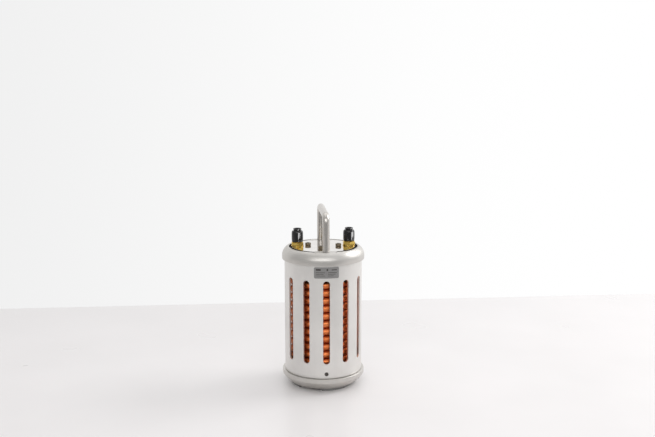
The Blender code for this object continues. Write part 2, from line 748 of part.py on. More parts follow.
def make_body(name):
    """Black push-in body: rounded barrel over the stud's boss, lipped at its mouth."""
    chamber_r = LIP_R + 0.8
    return turned(name, [
        (LIP_R, BODY_TOP), (BODY_R - 1.9, BODY_TOP), (BODY_R - 1.1, BODY_TOP - 0.4),
        (BODY_R - 0.5, BODY_TOP - 1.3), (BODY_R - 0.2, BODY_TOP - 3.0),
        (BODY_R, BODY_TOP - 7.0), (BODY_R - 0.1, BODY_BOTTOM + 3.0),
        (BODY_R - 0.4, BODY_BOTTOM + 0.6), (BODY_R - 0.8, BODY_BOTTOM),
        (BOSS_R + GAP, BODY_BOTTOM), (BOSS_R + GAP, BOSS_TOP + GAP),
        (chamber_r, BOSS_TOP + GAP), (chamber_r, LIP_BOTTOM), (LIP_R, LIP_BOTTOM)])


def make_collar(name):
    """Release collar: flange outside, sleeve through the lip, bead that holds it in."""
    sleeve_r = LIP_R - 0.4
    bead_r = LIP_R + 0.35
    bead_top = LIP_BOTTOM - GAP
    flange_bottom = BODY_TOP + 1.6
    bottom = BODY_TOP - 5.9
    return turned(name, [
        (TUBE_HOLE_R + 0.3, COLLAR_TOP), (COLLAR_R - 0.4, COLLAR_TOP),
        (COLLAR_R, COLLAR_TOP - 0.4), (COLLAR_R, flange_bottom), (sleeve_r, flange_bottom),
        (sleeve_r, bead_top), (bead_r, bead_top), (bead_r, bead_top - 1.0),
        (sleeve_r, bottom), (TUBE_HOLE_R, bottom), (TUBE_HOLE_R, COLLAR_TOP - 0.3)])


def make_port(side, label):
    """Everything on one port's axis, from the collar down to the coil's nut."""
    seat = bpy.data.objects.new(f"port_axis_{label}", None)
    PARTS.objects.link(seat)
    seat.location = (side * PORT_X * MM, 0.0, 0.0)
    pieces = []

    def add(obj, material):
        pieces.append(put(obj, material))

    add(turned(f"port_washer_{label}", [
        (WASHER_R, WASHER_TOP), (WASHER_R, WASHER_BOTTOM), (SHANK_R + GAP, WASHER_BOTTOM),
        (SHANK_R + GAP, WASHER_TOP)]), BRASS)
    add(make_stud(f"port_stud_{label}"), BRASS)
    add(make_body(f"port_body_{label}"), BLACK_POLYMER)
    add(make_collar(f"release_collar_{label}"), BLACK_POLYMER)
    add(turned(f"grab_ring_{label}", [
        (6.0, GRAB_RING_Z + 0.9), (6.0, GRAB_RING_Z + 0.4), (4.4, GRAB_RING_Z - 0.5),
        (4.4, GRAB_RING_Z)], steps=COARSE), STEEL)
    seal = [(SEAL_R + SEAL_THICK_R * math.cos(a), SEAL_Z - SEAL_THICK_R * math.sin(a))
            for a in (math.tau * i / 8 for i in range(8))]
    add(turned(f"tube_seal_{label}", seal, steps=COARSE), RUBBER)
    shank_clear = SHANK_R + GAP
    add(bored_hexagon(f"back_nut_{label}", BACK_NUT_BOTTOM, BACK_NUT_TOP, [
        (0.0, BACK_NUT_TOP + 5), (shank_clear, BACK_NUT_TOP + 5),
        (shank_clear, BACK_NUT_BOTTOM - 5), (0.0, BACK_NUT_BOTTOM - 5)]), BRASS)
    add(bored_hexagon(f"coil_nut_{label}", COIL_NUT_BOTTOM, COIL_NUT_TOP, [
        (0.0, COIL_NUT_TOP + 5), (shank_clear, COIL_NUT_TOP + 5), (shank_clear, CONE_TOP),
        (TUBE_R + GAP, CONE_BOTTOM), (TUBE_R + GAP, COIL_NUT_BOTTOM - 5),
        (0.0, COIL_NUT_BOTTOM - 5)]), BRASS)
    add(turned(f"olive_{label}", [
        (6.15, SHANK_BOTTOM - GAP), (6.6, OLIVE_WIDE_Z), (6.1, OLIVE_BOTTOM),
        (TUBE_R + GAP, OLIVE_BOTTOM),
        (TUBE_R + GAP, SHANK_BOTTOM - GAP)], steps=COARSE), BRASS)
    for piece in pieces:
        piece.parent = seat


# ---------------------------------------------------------------- build

clear_scene()
PARTS = new_collection("coil_canister")
CUTTERS = new_collection("cutters")

ANODISED = new_material("satin_anodised_aluminium", (0.62, 0.61, 0.60), 0.32, 1.0)
CAST = new_material("turned_aluminium", (0.55, 0.54, 0.52), 0.35, 1.0)
POLISHED = new_material("polished_steel_plate", (0.75, 0.74, 0.72), 0.12, 1.0)
STEEL = new_material("stainless_steel", (0.45, 0.44, 0.43), 0.3, 1.0)
BLACK_STEEL = new_material("blackened_steel", (0.03, 0.03, 0.03), 0.4, 1.0)
NICKEL = new_material("nickel_plated_magnet", (0.50, 0.48, 0.44), 0.25, 1.0)
COPPER = new_material("drawn_copper", (0.72, 0.32, 0.18), 0.28, 1.0)
BRASS = new_material("machined_brass", (0.62, 0.45, 0.15), 0.25, 1.0)
BLACK_POLYMER = new_material("moulded_glossy_polymer", (0.010, 0.009, 0.009), 0.12, 0.0)
RUBBER = new_material("grey_rubber", (0.16, 0.16, 0.16), 0.7, 0.0)
PLATE_GREY = new_material("printed_grey_plate", (0.24, 0.24, 0.25), 0.4, 0.5)

BASE_HOLES = radial_holes("base_screw_holes", BASE_SCREW_Z)
CAP_HOLES = radial_holes("cap_screw_holes", CAP_SCREW_Z)

make_base()
make_pads()
make_shell()
make_cap()
make_disc()
make_rating_plate()
make_handle()
make_screws()
make_core()
make_coil()
for port_side, port_label in ((-1, "left"), (1, "right")):
    make_port(port_side, port_label)
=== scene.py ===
# %% [markdown]
# # A portable coil canister
#
# The object is a slotted aluminium can between two turned castings. A copper tube is wound
# inside it, two push-in tube ports and a bar handle stand on its cap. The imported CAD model
# already has every piece at its place, so this notebook reads its sizes from there and makes
# each visible piece again with fine edges, round surfaces and a real finish. Another way is
# to keep the CAD meshes and only paint them, but their facets would show on every round rim.

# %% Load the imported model
import json
import math

import bmesh
import bpy
from mathutils import Matrix, Vector

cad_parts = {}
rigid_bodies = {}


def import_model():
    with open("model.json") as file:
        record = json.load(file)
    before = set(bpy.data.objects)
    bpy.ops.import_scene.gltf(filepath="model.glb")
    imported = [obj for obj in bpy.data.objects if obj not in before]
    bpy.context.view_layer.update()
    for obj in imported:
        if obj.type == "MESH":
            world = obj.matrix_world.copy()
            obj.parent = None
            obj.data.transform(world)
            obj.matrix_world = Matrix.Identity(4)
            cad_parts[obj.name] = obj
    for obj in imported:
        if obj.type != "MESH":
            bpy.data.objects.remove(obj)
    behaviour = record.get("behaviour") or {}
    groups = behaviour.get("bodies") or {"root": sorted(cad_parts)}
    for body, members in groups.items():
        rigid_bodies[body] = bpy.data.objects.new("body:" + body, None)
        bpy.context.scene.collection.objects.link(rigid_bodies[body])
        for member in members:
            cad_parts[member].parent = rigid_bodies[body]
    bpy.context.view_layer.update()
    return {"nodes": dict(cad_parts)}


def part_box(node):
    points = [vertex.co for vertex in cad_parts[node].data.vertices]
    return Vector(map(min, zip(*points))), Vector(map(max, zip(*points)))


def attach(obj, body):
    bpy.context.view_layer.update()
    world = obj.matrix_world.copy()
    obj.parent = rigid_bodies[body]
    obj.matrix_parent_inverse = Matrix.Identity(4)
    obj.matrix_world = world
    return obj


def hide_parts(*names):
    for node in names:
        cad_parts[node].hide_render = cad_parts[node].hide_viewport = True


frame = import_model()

MM = 0.001
print("CAD nodes:", len(frame["nodes"]))


# %% [markdown]
# ## Reading sizes
#
# A round CAD node is described by its axis, radius and two heights. `Span` reads them from
# the node's box, in millimetres, and everything below is drawn in millimetres too. The
# meshes are turned into metres once, when a piece is finished.

# %% Sizes from the CAD nodes
class Span:
    """Axis position, radius and heights of an upright CAD node, in millimetres."""

    def __init__(self, node):
        low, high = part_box(node)
        self.x = (low.x + high.x) / 2 / MM
        self.y = (low.y + high.y) / 2 / MM
        self.radius = (high.x - low.x) / 2 / MM
        self.bottom = low.z / MM
        self.top = high.z / MM
        self.height = self.top - self.bottom


shell = Span("shell_tube")
base = Span("base_cap")
cap = Span("top_cap")
disc = Span("cover_disc")
handle = Span("handle")
coil = Span("copper_coil")
plate = Span("rating_plate")
print(f"shell {shell.radius:.1f} x {shell.height:.1f} mm, whole {handle.top:.1f} mm tall")

# %% Values that the boxes do not hold
SHELL_WALL = 3.0
SLOT_COUNT = 12
SLOT_WIDTH = 9.8
SLOT_ABOVE_FOOT = 21.6        # from the shell's lower end to its slots
SLOT_BELOW_TOP = 22.2         # from the shell's upper end to its slots
SPIGOT_WALL = 3.0
CAP_SHOULDER = (53.0, 7.1, 1.4)    # flat end's edge radius, rim height, bulge
BASE_SHOULDER = (48.0, 5.8, 1.0)
RECESS_R = 50.4
RECESS_DEPTH = 3.3
LUG_WIDTH = 31.0
LUG_INNER_Y = 41.0
LEG_Y = 47.5
BAR_R = 5.2
BEND_R = 9.0
HUB_SCREWS = ("hub_screw_1", "hub_screw_2", "hub_screw_3", "hub_screw_4")
SIDES = ("left", "right")


# %% [markdown]
# ## Small helpers
#
# A shader or geometry tree is a list of nodes and links. One helper adds a node: a dictionary
# gives its inputs, and an input that is another node's socket becomes a link. Keywords set
# the node's own options. That keeps every tree below readable from top to bottom.

# %% Helper: add a node
def add(tree, kind, inputs=None, **options):
    """Add a node to a tree, set its options, and set or link its inputs."""
    made = tree.nodes.new(kind)
    for key, value in options.items():
        setattr(made, key, value)
    for key, value in (inputs or {}).items():
        if isinstance(value, bpy.types.NodeSocket):
            tree.links.new(value, made.inputs[key])
        else:
            made.inputs[key].default_value = value
    return made


# %% Helper: sRGB hex colours to linear
def colour(code):
    """Linear RGBA of an sRGB hex colour."""
    parts = [int(code[i:i + 2], 16) / 255 for i in (1, 3, 5)]
    linear = [c / 12.92 if c <= 0.04045 else ((c + 0.055) / 1.055) ** 2.4 for c in parts]
    return (*linear, 1.0)


# %% Helper: start a material
def new_material(name, **settings):
    """Material with its Principled shader; settings are its uniform inputs."""
    made = bpy.data.materials.new(name)
    made.use_nodes = True
    tree = made.node_tree
    shader = tree.nodes["Principled BSDF"]
    for key, value in settings.items():
        shader.inputs[key.replace("_", " ")].default_value = value
    return made, tree, shader


def ramp(tree, factor, low, high, dark, light):
    """Map a factor between low and high onto two values or two colours."""
    if isinstance(dark, (int, float)):
        return add(tree, "ShaderNodeMapRange", {
            "Value": factor, "From Min": low, "From Max": high,
            "To Min": dark, "To Max": light}).outputs["Result"]
    steps = add(tree, "ShaderNodeMapRange", {
        "Value": factor, "From Min": low, "From Max": high})
    return add(tree, "ShaderNodeMix", {
        "Factor": steps.outputs["Result"], 6: dark, 7: light},
        data_type="RGBA").outputs[2]


# %% Helper: link a pattern to the shader
def surface(tree, shader, tones, roughness, relief):
    """Let patterns drive the shader's colour, its roughness and its bump.

    tones is (pattern, low, high, dark hex, light hex), roughness is (pattern, low, high,
    smooth, rough) and relief is (pattern, strength, distance in metres)."""
    pattern, low, high, dark, light = tones
    tree.links.new(ramp(tree, pattern, low, high, colour(dark), colour(light)),
                   shader.inputs["Base Color"])
    tree.links.new(ramp(tree, *roughness), shader.inputs["Roughness"])
    pattern, strength, distance = relief
    bump = add(tree, "ShaderNodeBump", {
        "Height": pattern, "Strength": strength, "Distance": distance})
    tree.links.new(bump.outputs["Normal"], shader.inputs["Normal"])


# %% [markdown]
# ## Finishes
#
# Each finish starts from what the real surface is. Metals are fully metallic and keep the
# default IOR, and their look is decided by colour, roughness and a very fine bump. The
# patterns use Object coordinates, which are metres here, so a scale of 1 / 0.0005 m is one
# feature every half millimetre. Grain that is finer than the eye can see at arm's length is
# drawn a little coarser, so that it still breaks up the reflections.

# %% [markdown]
# ### Satin anodised aluminium
#
# The shell is an extruded tube, etched and clear anodised. Etching leaves a soft satin with
# no direction, and the extrusion die leaves faint lines along the tube. The lines come from a
# noise that is squeezed in Z, so that it only changes round the tube.

# %% Finish: satin anodised aluminium
def satin_anodised_aluminium():
    """Even grey-white satin with faint lengthwise die lines."""
    made, tree, shader = new_material(
        "satin anodised aluminium", Metallic=1.0, Roughness=0.4)
    place = add(tree, "ShaderNodeTexCoord").outputs["Object"]
    die_line = 0.0011                      # drawn coarser than the real 0.1 mm lines
    squeezed = add(tree, "ShaderNodeMapping", {
        "Vector": place, "Scale": (1.0, 1.0, 0.004)})
    lines = add(tree, "ShaderNodeTexNoise", {
        "Vector": squeezed.outputs["Vector"], "Scale": 1 / die_line, "Detail": 3.0})
    etch = add(tree, "ShaderNodeTexNoise", {
        "Vector": place, "Scale": 1 / 0.0006, "Detail": 2.0})
    cloud = add(tree, "ShaderNodeTexNoise", {
        "Vector": place, "Scale": 1 / 0.045, "Detail": 3.0})
    relief = add(tree, "ShaderNodeMath", {
        0: lines.outputs[0], 1: etch.outputs[0]}, operation="ADD")
    surface(tree, shader,
            (cloud.outputs[0], 0.3, 0.7, "#e3e1de", "#ebe9e6"),
            (lines.outputs[0], 0.3, 0.7, 0.46, 0.56),
            (relief.outputs[0], 0.12, 0.00006))
    return made


# %% [markdown]
# ### Turned aluminium
#
# The base and the cap come off a lathe, so the tool leaves fine rings round the axis. The
# rings follow the profile: on the flat they are spaced along the radius and on the rim along
# Z. One number that always grows along the profile is radius plus height, and a one-
# dimensional noise of it draws uneven rings on every part of the surface.

# %% Finish: turned aluminium
def profile_length(tree, place):
    """Distance from the Z axis plus height: it grows along a turned profile."""
    flat = add(tree, "ShaderNodeVectorMath", {0: place, 1: (1.0, 1.0, 0.0)},
               operation="MULTIPLY")
    radius = add(tree, "ShaderNodeVectorMath", {0: flat.outputs[0]}, operation="LENGTH")
    height = add(tree, "ShaderNodeSeparateXYZ", {0: place})
    return add(tree, "ShaderNodeMath", {
        0: radius.outputs["Value"], 1: height.outputs["Z"]}, operation="ADD").outputs[0]


def turned_aluminium():
    """Slightly darker than the shell, with fine lathe rings."""
    made, tree, shader = new_material("fine turned aluminium", Metallic=1.0, Roughness=0.36)
    place = add(tree, "ShaderNodeTexCoord").outputs["Object"]
    along = profile_length(tree, place)
    feed = 0.0007                          # the real feed is 0.15 mm, too fine to show
    rings = add(tree, "ShaderNodeTexNoise", {
        "W": along, "Scale": 1 / feed, "Detail": 3.0}, noise_dimensions="1D")
    smudge = add(tree, "ShaderNodeTexNoise", {
        "Vector": place, "Scale": 1 / 0.03, "Detail": 4.0})
    surface(tree, shader,
            (smudge.outputs[0], 0.3, 0.7, "#c9c6c1", "#d5d2ce"),
            (rings.outputs[0], 0.3, 0.7, 0.36, 0.48),
            (rings.outputs[0], 0.2, 0.00005))
    return made


# %% [markdown]
# ### Drawn bar aluminium
#
# The handle is bent from drawn bar and lightly brushed, so its scratches run along the bar
# and round its bends. They follow the attributes `along` and `around`, which the handle gets
# when it is swept: plain coordinates would leave the scratches straight through a bend.

# %% Finish: drawn bar aluminium of the handle
def drawn_bar_aluminium():
    """Drawn and lightly brushed bar: fine scratches along its length."""
    made, tree, shader = new_material("drawn bar aluminium", Metallic=1.0, Roughness=0.3)
    along = add(tree, "ShaderNodeAttribute", attribute_name="along")
    around = add(tree, "ShaderNodeAttribute", attribute_name="around")
    grain = 0.0005
    vector = add(tree, "ShaderNodeCombineXYZ", {
        "X": along.outputs["Fac"], "Y": around.outputs["Fac"]})
    squeezed = add(tree, "ShaderNodeMapping", {
        "Vector": vector.outputs[0], "Scale": (0.02, 1.0, 1.0)})
    scratches = add(tree, "ShaderNodeTexNoise", {
        "Vector": squeezed.outputs[0], "Scale": 1 / grain, "Detail": 4.0})
    surface(tree, shader,
            (scratches.outputs[0], 0.3, 0.7, "#c6c1bb", "#d6d2cd"),
            (scratches.outputs[0], 0.3, 0.7, 0.22, 0.34),
            (scratches.outputs[0], 0.25, 0.00004))
    return made


# %% [markdown]
# ### Polished steel
#
# The cover disc is polished on a wheel. It mirrors the ports and screws, a little softened by
# hair-fine circular scratches.

# %% Finish: polished stainless steel
def polished_steel():
    """Near mirror with faint circular polishing marks."""
    made, tree, shader = new_material("polished stainless steel", Metallic=1.0, Roughness=0.1)
    place = add(tree, "ShaderNodeTexCoord").outputs["Object"]
    along = profile_length(tree, place)
    rings = add(tree, "ShaderNodeTexNoise", {
        "W": along, "Scale": 1 / 0.0005, "Detail": 4.0}, noise_dimensions="1D")
    haze = add(tree, "ShaderNodeTexNoise", {"Vector": place, "Scale": 1 / 0.02, "Detail": 4.0})
    surface(tree, shader,
            (haze.outputs[0], 0.3, 0.7, "#dedad6", "#ebe8e4"),
            (rings.outputs[0], 0.3, 0.7, 0.04, 0.09),
            (rings.outputs[0], 0.08, 0.00003))
    return made


# %% [markdown]
# ### Steel and other small metal parts
#
# They share one finish: a plain metal with a faint mottle that keeps the highlights from
# being too clean. Only the two colours and the roughness differ. Nickel plate is the
# lightest, then stainless steel. The screws on the disc are burnished a little brown and the
# screws in the shell are blackened. The darkest is painted shade for the groove round the disc.

# %% Finish: steel of the screws and inner parts
def bright_steel(name, dark, light, roughness):
    """Plain machined metal; the two colours set how bright it is."""
    made, tree, shader = new_material(name, Metallic=1.0, Roughness=roughness)
    place = add(tree, "ShaderNodeTexCoord").outputs["Object"]
    mottle = add(tree, "ShaderNodeTexNoise", {
        "Vector": place, "Scale": 1 / 0.0012, "Detail": 4.0})
    surface(tree, shader,
            (mottle.outputs[0], 0.3, 0.7, dark, light),
            (mottle.outputs[0], 0.3, 0.7, roughness - 0.06, roughness + 0.06),
            (mottle.outputs[0], 0.15, 0.00004))
    return made


# %% [markdown]
# ### Drawn copper and machined brass
#
# Copper tube comes bright from the drawing die with lines along it, and after a few weeks in
# the air it darkens in soft patches. The tube's own attributes `along` and `around` carry the
# drawing lines round every turn of the coil, which plain coordinates could not do. The
# brass studs and washers are turned, so their fine marks are noise along Z alone.

# %% Finish: drawn copper
def drawn_copper():
    """Warm metal with lengthwise drawing lines and slight tarnish."""
    made, tree, shader = new_material("drawn copper", Metallic=1.0, Roughness=0.24)
    along = add(tree, "ShaderNodeAttribute", attribute_name="along")
    around = add(tree, "ShaderNodeAttribute", attribute_name="around")
    place = add(tree, "ShaderNodeTexCoord").outputs["Object"]
    vector = add(tree, "ShaderNodeCombineXYZ", {
        "X": along.outputs["Fac"], "Y": around.outputs["Fac"]})
    squeezed = add(tree, "ShaderNodeMapping", {
        "Vector": vector.outputs[0], "Scale": (0.03, 1.0, 1.0)})
    lines = add(tree, "ShaderNodeTexNoise", {
        "Vector": squeezed.outputs[0], "Scale": 1 / 0.0006, "Detail": 3.0})
    tarnish = add(tree, "ShaderNodeTexNoise", {
        "Vector": place, "Scale": 1 / 0.018, "Detail": 5.0, "Roughness": 0.6})
    surface(tree, shader,
            (tarnish.outputs[0], 0.35, 0.7, "#dd8350", "#c96d3b"),
            (tarnish.outputs[0], 0.35, 0.7, 0.38, 0.5),
            (lines.outputs[0], 0.15, 0.00005))
    return made


# %% Finish: machined brass
def machined_brass():
    """Yellow metal with fine tool marks and slightly darker spots."""
    made, tree, shader = new_material("machined brass", Metallic=1.0, Roughness=0.22)
    place = add(tree, "ShaderNodeTexCoord").outputs["Object"]
    height = add(tree, "ShaderNodeSeparateXYZ", {0: place}).outputs["Z"]
    marks = add(tree, "ShaderNodeTexNoise", {
        "W": height, "Scale": 1 / 0.0004, "Detail": 2.0}, noise_dimensions="1D")
    spots = add(tree, "ShaderNodeTexNoise", {
        "Vector": place, "Scale": 1 / 0.004, "Detail": 4.0})
    surface(tree, shader,
            (spots.outputs[0], 0.3, 0.7, "#dcb652", "#ecce78"),
            (marks.outputs[0], 0.3, 0.7, 0.16, 0.28),
            (marks.outputs[0], 0.15, 0.00004))
    return made


# %% [markdown]
# ### Moulded polymer and rubber
#
# The port bodies come from a polished mould: almost black, with a clear gloss and the slight
# waviness of shrinking plastic. The pads are grey moulded rubber, matt and dusty.

# %% Finish: moulded glossy polymer
def glossy_polymer():
    """Near black with a clear gloss and very gentle waves."""
    made, tree, shader = new_material(
        "moulded glossy polymer", Roughness=0.1, IOR=1.52)
    place = add(tree, "ShaderNodeTexCoord").outputs["Object"]
    waves = add(tree, "ShaderNodeTexNoise", {
        "Vector": place, "Scale": 1 / 0.005, "Detail": 2.0})
    dust = add(tree, "ShaderNodeTexNoise", {
        "Vector": place, "Scale": 1 / 0.0008, "Detail": 4.0})
    surface(tree, shader,
            (dust.outputs[0], 0.4, 0.75, "#0c0b0b", "#141313"),
            (dust.outputs[0], 0.4, 0.75, 0.09, 0.17),
            (waves.outputs[0], 0.1, 0.0002))
    return made


# %% Finish: moulded rubber
def moulded_rubber():
    """Matt grey rubber with a fine spark-eroded grain."""
    made, tree, shader = new_material(
        "moulded grey rubber", Roughness=0.75, Specular_IOR_Level=0.35)
    place = add(tree, "ShaderNodeTexCoord").outputs["Object"]
    grain = add(tree, "ShaderNodeTexNoise", {
        "Vector": place, "Scale": 1 / 0.0005, "Detail": 3.0})
    surface(tree, shader,
            (grain.outputs[0], 0.3, 0.7, "#7b7a79", "#8b8a88"),
            (grain.outputs[0], 0.3, 0.7, 0.68, 0.82),
            (grain.outputs[0], 0.4, 0.0001))
    return made


# %% [markdown]
# ### Printed plate
#
# The rating plate is thin grey foil with darker print. What it says is left out: the print
# here is only ruled lines and blank blocks. The plate has its own UV map, 0 to 1 across and
# up, and each mark is a rectangle in it, cut out with four comparisons.

# %% Finish: printed grey plate
PLATE_MARKS = (                # left, right, bottom, top, as shares of the plate
    (0.08, 0.27, 0.70, 0.86),
    (0.50, 0.56, 0.68, 0.86),
    (0.70, 0.91, 0.72, 0.80),
    (0.08, 0.44, 0.50, 0.545),
    (0.56, 0.91, 0.50, 0.545),
    (0.08, 0.38, 0.36, 0.40),
    (0.56, 0.86, 0.36, 0.40),
    (0.08, 0.44, 0.22, 0.255),
    (0.56, 0.78, 0.22, 0.255),
)
PLATE_FRAME = 0.025


def inside(tree, value, low, high):
    """1 where a value lies between two limits."""
    above = add(tree, "ShaderNodeMath", {0: value, 1: low}, operation="GREATER_THAN")
    below = add(tree, "ShaderNodeMath", {0: value, 1: high}, operation="LESS_THAN")
    return add(tree, "ShaderNodeMath", {0: above.outputs[0], 1: below.outputs[0]},
               operation="MULTIPLY").outputs[0]


def printed_plate():
    """Grey satin foil with dark blank blocks and thin ruled lines."""
    made, tree, shader = new_material("printed grey foil plate", Metallic=0.55, Roughness=0.42)
    uv = add(tree, "ShaderNodeUVMap", uv_map="plate").outputs[0]
    parts = add(tree, "ShaderNodeSeparateXYZ", {0: uv})
    across, up = parts.outputs["X"], parts.outputs["Y"]
    ink = None
    for left, right, bottom, top in PLATE_MARKS:
        mark = add(tree, "ShaderNodeMath", {
            0: inside(tree, across, left, right), 1: inside(tree, up, bottom, top)},
            operation="MULTIPLY").outputs[0]
        if ink is None:
            ink = mark
        else:
            ink = add(tree, "ShaderNodeMath", {0: ink, 1: mark}, operation="MAXIMUM").outputs[0]
    place = add(tree, "ShaderNodeTexCoord").outputs["Object"]
    speckle = add(tree, "ShaderNodeTexNoise", {
        "Vector": place, "Scale": 1 / 0.0007, "Detail": 3.0})
    foil = ramp(tree, speckle.outputs[0], 0.3, 0.7, colour("#908f8e"), colour("#a1a09f"))
    worn_ink = ramp(tree, speckle.outputs[0], 0.3, 0.7, colour("#4a4645"), colour("#5c5857"))
    printed = add(tree, "ShaderNodeMix", {"Factor": ink, 6: foil, 7: worn_ink},
                  data_type="RGBA")
    tree.links.new(printed.outputs[2], shader.inputs["Base Color"])
    tree.links.new(ramp(tree, ink, 0.0, 1.0, 0.4, 0.6), shader.inputs["Roughness"])
    bump = add(tree, "ShaderNodeBump", {
        "Height": ink, "Strength": 0.3, "Distance": 0.00003})
    tree.links.new(bump.outputs["Normal"], shader.inputs["Normal"])
    return made


# %% Make the finishes
ANODISED = satin_anodised_aluminium()
TURNED = turned_aluminium()
BAR = drawn_bar_aluminium()
POLISHED = polished_steel()
STEEL = bright_steel("machined stainless steel", "#8f8b87", "#a5a19c", 0.28)
BURNISHED = bright_steel("burnished steel", "#6b6155", "#93866f", 0.24)
# Painted shade: a dark metal that stands for the shadow down in the groove round the disc.
GROOVE = bright_steel("dark metal with painted groove shade", "#2e2a26", "#3c3732", 0.5)
BLACK_STEEL = bright_steel("blackened steel", "#4a4744", "#6b6763", 0.34)
NICKEL = bright_steel("nickel plate", "#b5aea0", "#c6bfb1", 0.22)
COPPER = drawn_copper()
BRASS = machined_brass()
POLYMER = glossy_polymer()
RUBBER = moulded_rubber()
PRINTED = printed_plate()
print("finishes:", len(bpy.data.materials))


# %% [markdown]
# ## Making and finishing a piece
#
# A turned piece is a profile spun round an axis. The profile lists the corners of the
# section, and each corner may carry a fillet radius: `rounded` swaps such a corner for a
# small arc. Real edges are never knife sharp, and these arcs catch the thin highlights that
# make a render believable. A Bevel modifier would do the same after spinning, but it also
# bevels where nothing should be, and it is slower.

# %% Helper: fillet the corners of a section
def rounded(corners, steps=3):
    """Section with fillets. Each corner is (radius, height) or (radius, height, fillet)."""
    points = []
    count = len(corners)
    for i, corner in enumerate(corners):
        here = Vector(corner[:2])
        fillet = corner[2] if len(corner) > 2 else 0.0
        before = Vector(corners[i - 1][:2]) - here
        after = Vector(corners[(i + 1) % count][:2]) - here
        if not fillet or before.length < 1e-6 or after.length < 1e-6:
            points.append(here)
            continue
        reach = min(fillet, before.length * 0.49, after.length * 0.49)
        start = here + before.normalized() * reach
        end = here + after.normalized() * reach
        for k in range(steps + 1):
            t = k / steps
            points.append(start * (1 - t) ** 2 + here * 2 * t * (1 - t) + end * t ** 2)
    return points


# %% Helper: spin a section round an upright axis
def spun(work, section, centre=(0.0, 0.0), sides=96):
    """Add the solid of a closed section, in millimetres, to a bmesh."""
    rings = []
    for i in range(sides):
        angle = math.tau * i / sides
        c, s = math.cos(angle), math.sin(angle)
        ring = []
        for point in section:
            place = (centre[0] + point.x * c, centre[1] + point.x * s, point.y)
            ring.append(work.verts.new(place))
        rings.append(ring)
    count = len(section)
    for i in range(sides):
        here, there = rings[i], rings[(i + 1) % sides]
        for k in range(count):
            n = (k + 1) % count
            on_axis = section[k].x < 1e-6 and section[n].x < 1e-6
            if not on_axis:
                work.faces.new((here[k], there[k], there[n], here[n]))
    bmesh.ops.remove_doubles(work, verts=work.verts, dist=1e-5)
    bmesh.ops.recalc_face_normals(work, faces=work.faces)


# %% Helper: from a bmesh to a finished piece
def scene_object(name, data):
    """Object in the scene that shows some data."""
    made = bpy.data.objects.new(name, data)
    bpy.context.scene.collection.objects.link(made)
    return made


def stored_mesh(name, work):
    """Mesh that takes over what a bmesh holds."""
    mesh = bpy.data.meshes.new(name)
    work.to_mesh(mesh)
    work.free()
    return mesh


def mesh_object(name, work, crease_deg=32.0):
    """Object in metres from a bmesh in millimetres, smooth with sharp real corners."""
    mesh = stored_mesh(name, work)
    mesh.transform(Matrix.Scale(MM, 4))
    mesh.shade_smooth()
    mesh.set_sharp_from_angle(angle=math.radians(crease_deg))
    return scene_object(name, mesh)


def frozen(piece, crease_deg=32.0):
    """Swap a piece's modifiers for the mesh that they make."""
    graph = bpy.context.evaluated_depsgraph_get()
    graph.update()
    mesh = bpy.data.meshes.new_from_object(piece.evaluated_get(graph))
    name = piece.name
    if piece.type == "MESH":
        piece.modifiers.clear()
        piece.data = mesh
        made = piece
    else:
        bpy.data.objects.remove(piece)
        made = scene_object(name, mesh)
    made.data.name = name
    made.data.shade_smooth()
    made.data.set_sharp_from_angle(angle=math.radians(crease_deg))
    return made


def finish(piece, material, body, slot, *nodes):
    """Give a piece its finish and say what it stands for and what it moves with."""
    piece.data.materials.clear()
    piece.data.materials.append(material)
    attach(piece, body)
    if nodes:
        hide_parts(*nodes)
    print(f"{piece.name}: {len(piece.data.polygons)} faces, stands for {', '.join(nodes)}")
    return piece


def cut_with(piece, tool, operation, crease_deg=32.0):
    """Join a piece with a tool object, or cut it with one, and remove the tool."""
    step = piece.modifiers.new("Cut", "BOOLEAN")
    step.operation = operation
    step.solver = "EXACT"
    step.object = tool
    made = frozen(piece, crease_deg)
    bpy.data.objects.remove(tool)
    return made


def turned_piece(name, corners, centre=(0.0, 0.0), sides=96):
    """Object of one spun section."""
    work = bmesh.new()
    spun(work, rounded(corners), centre, sides)
    return mesh_object(name, work)
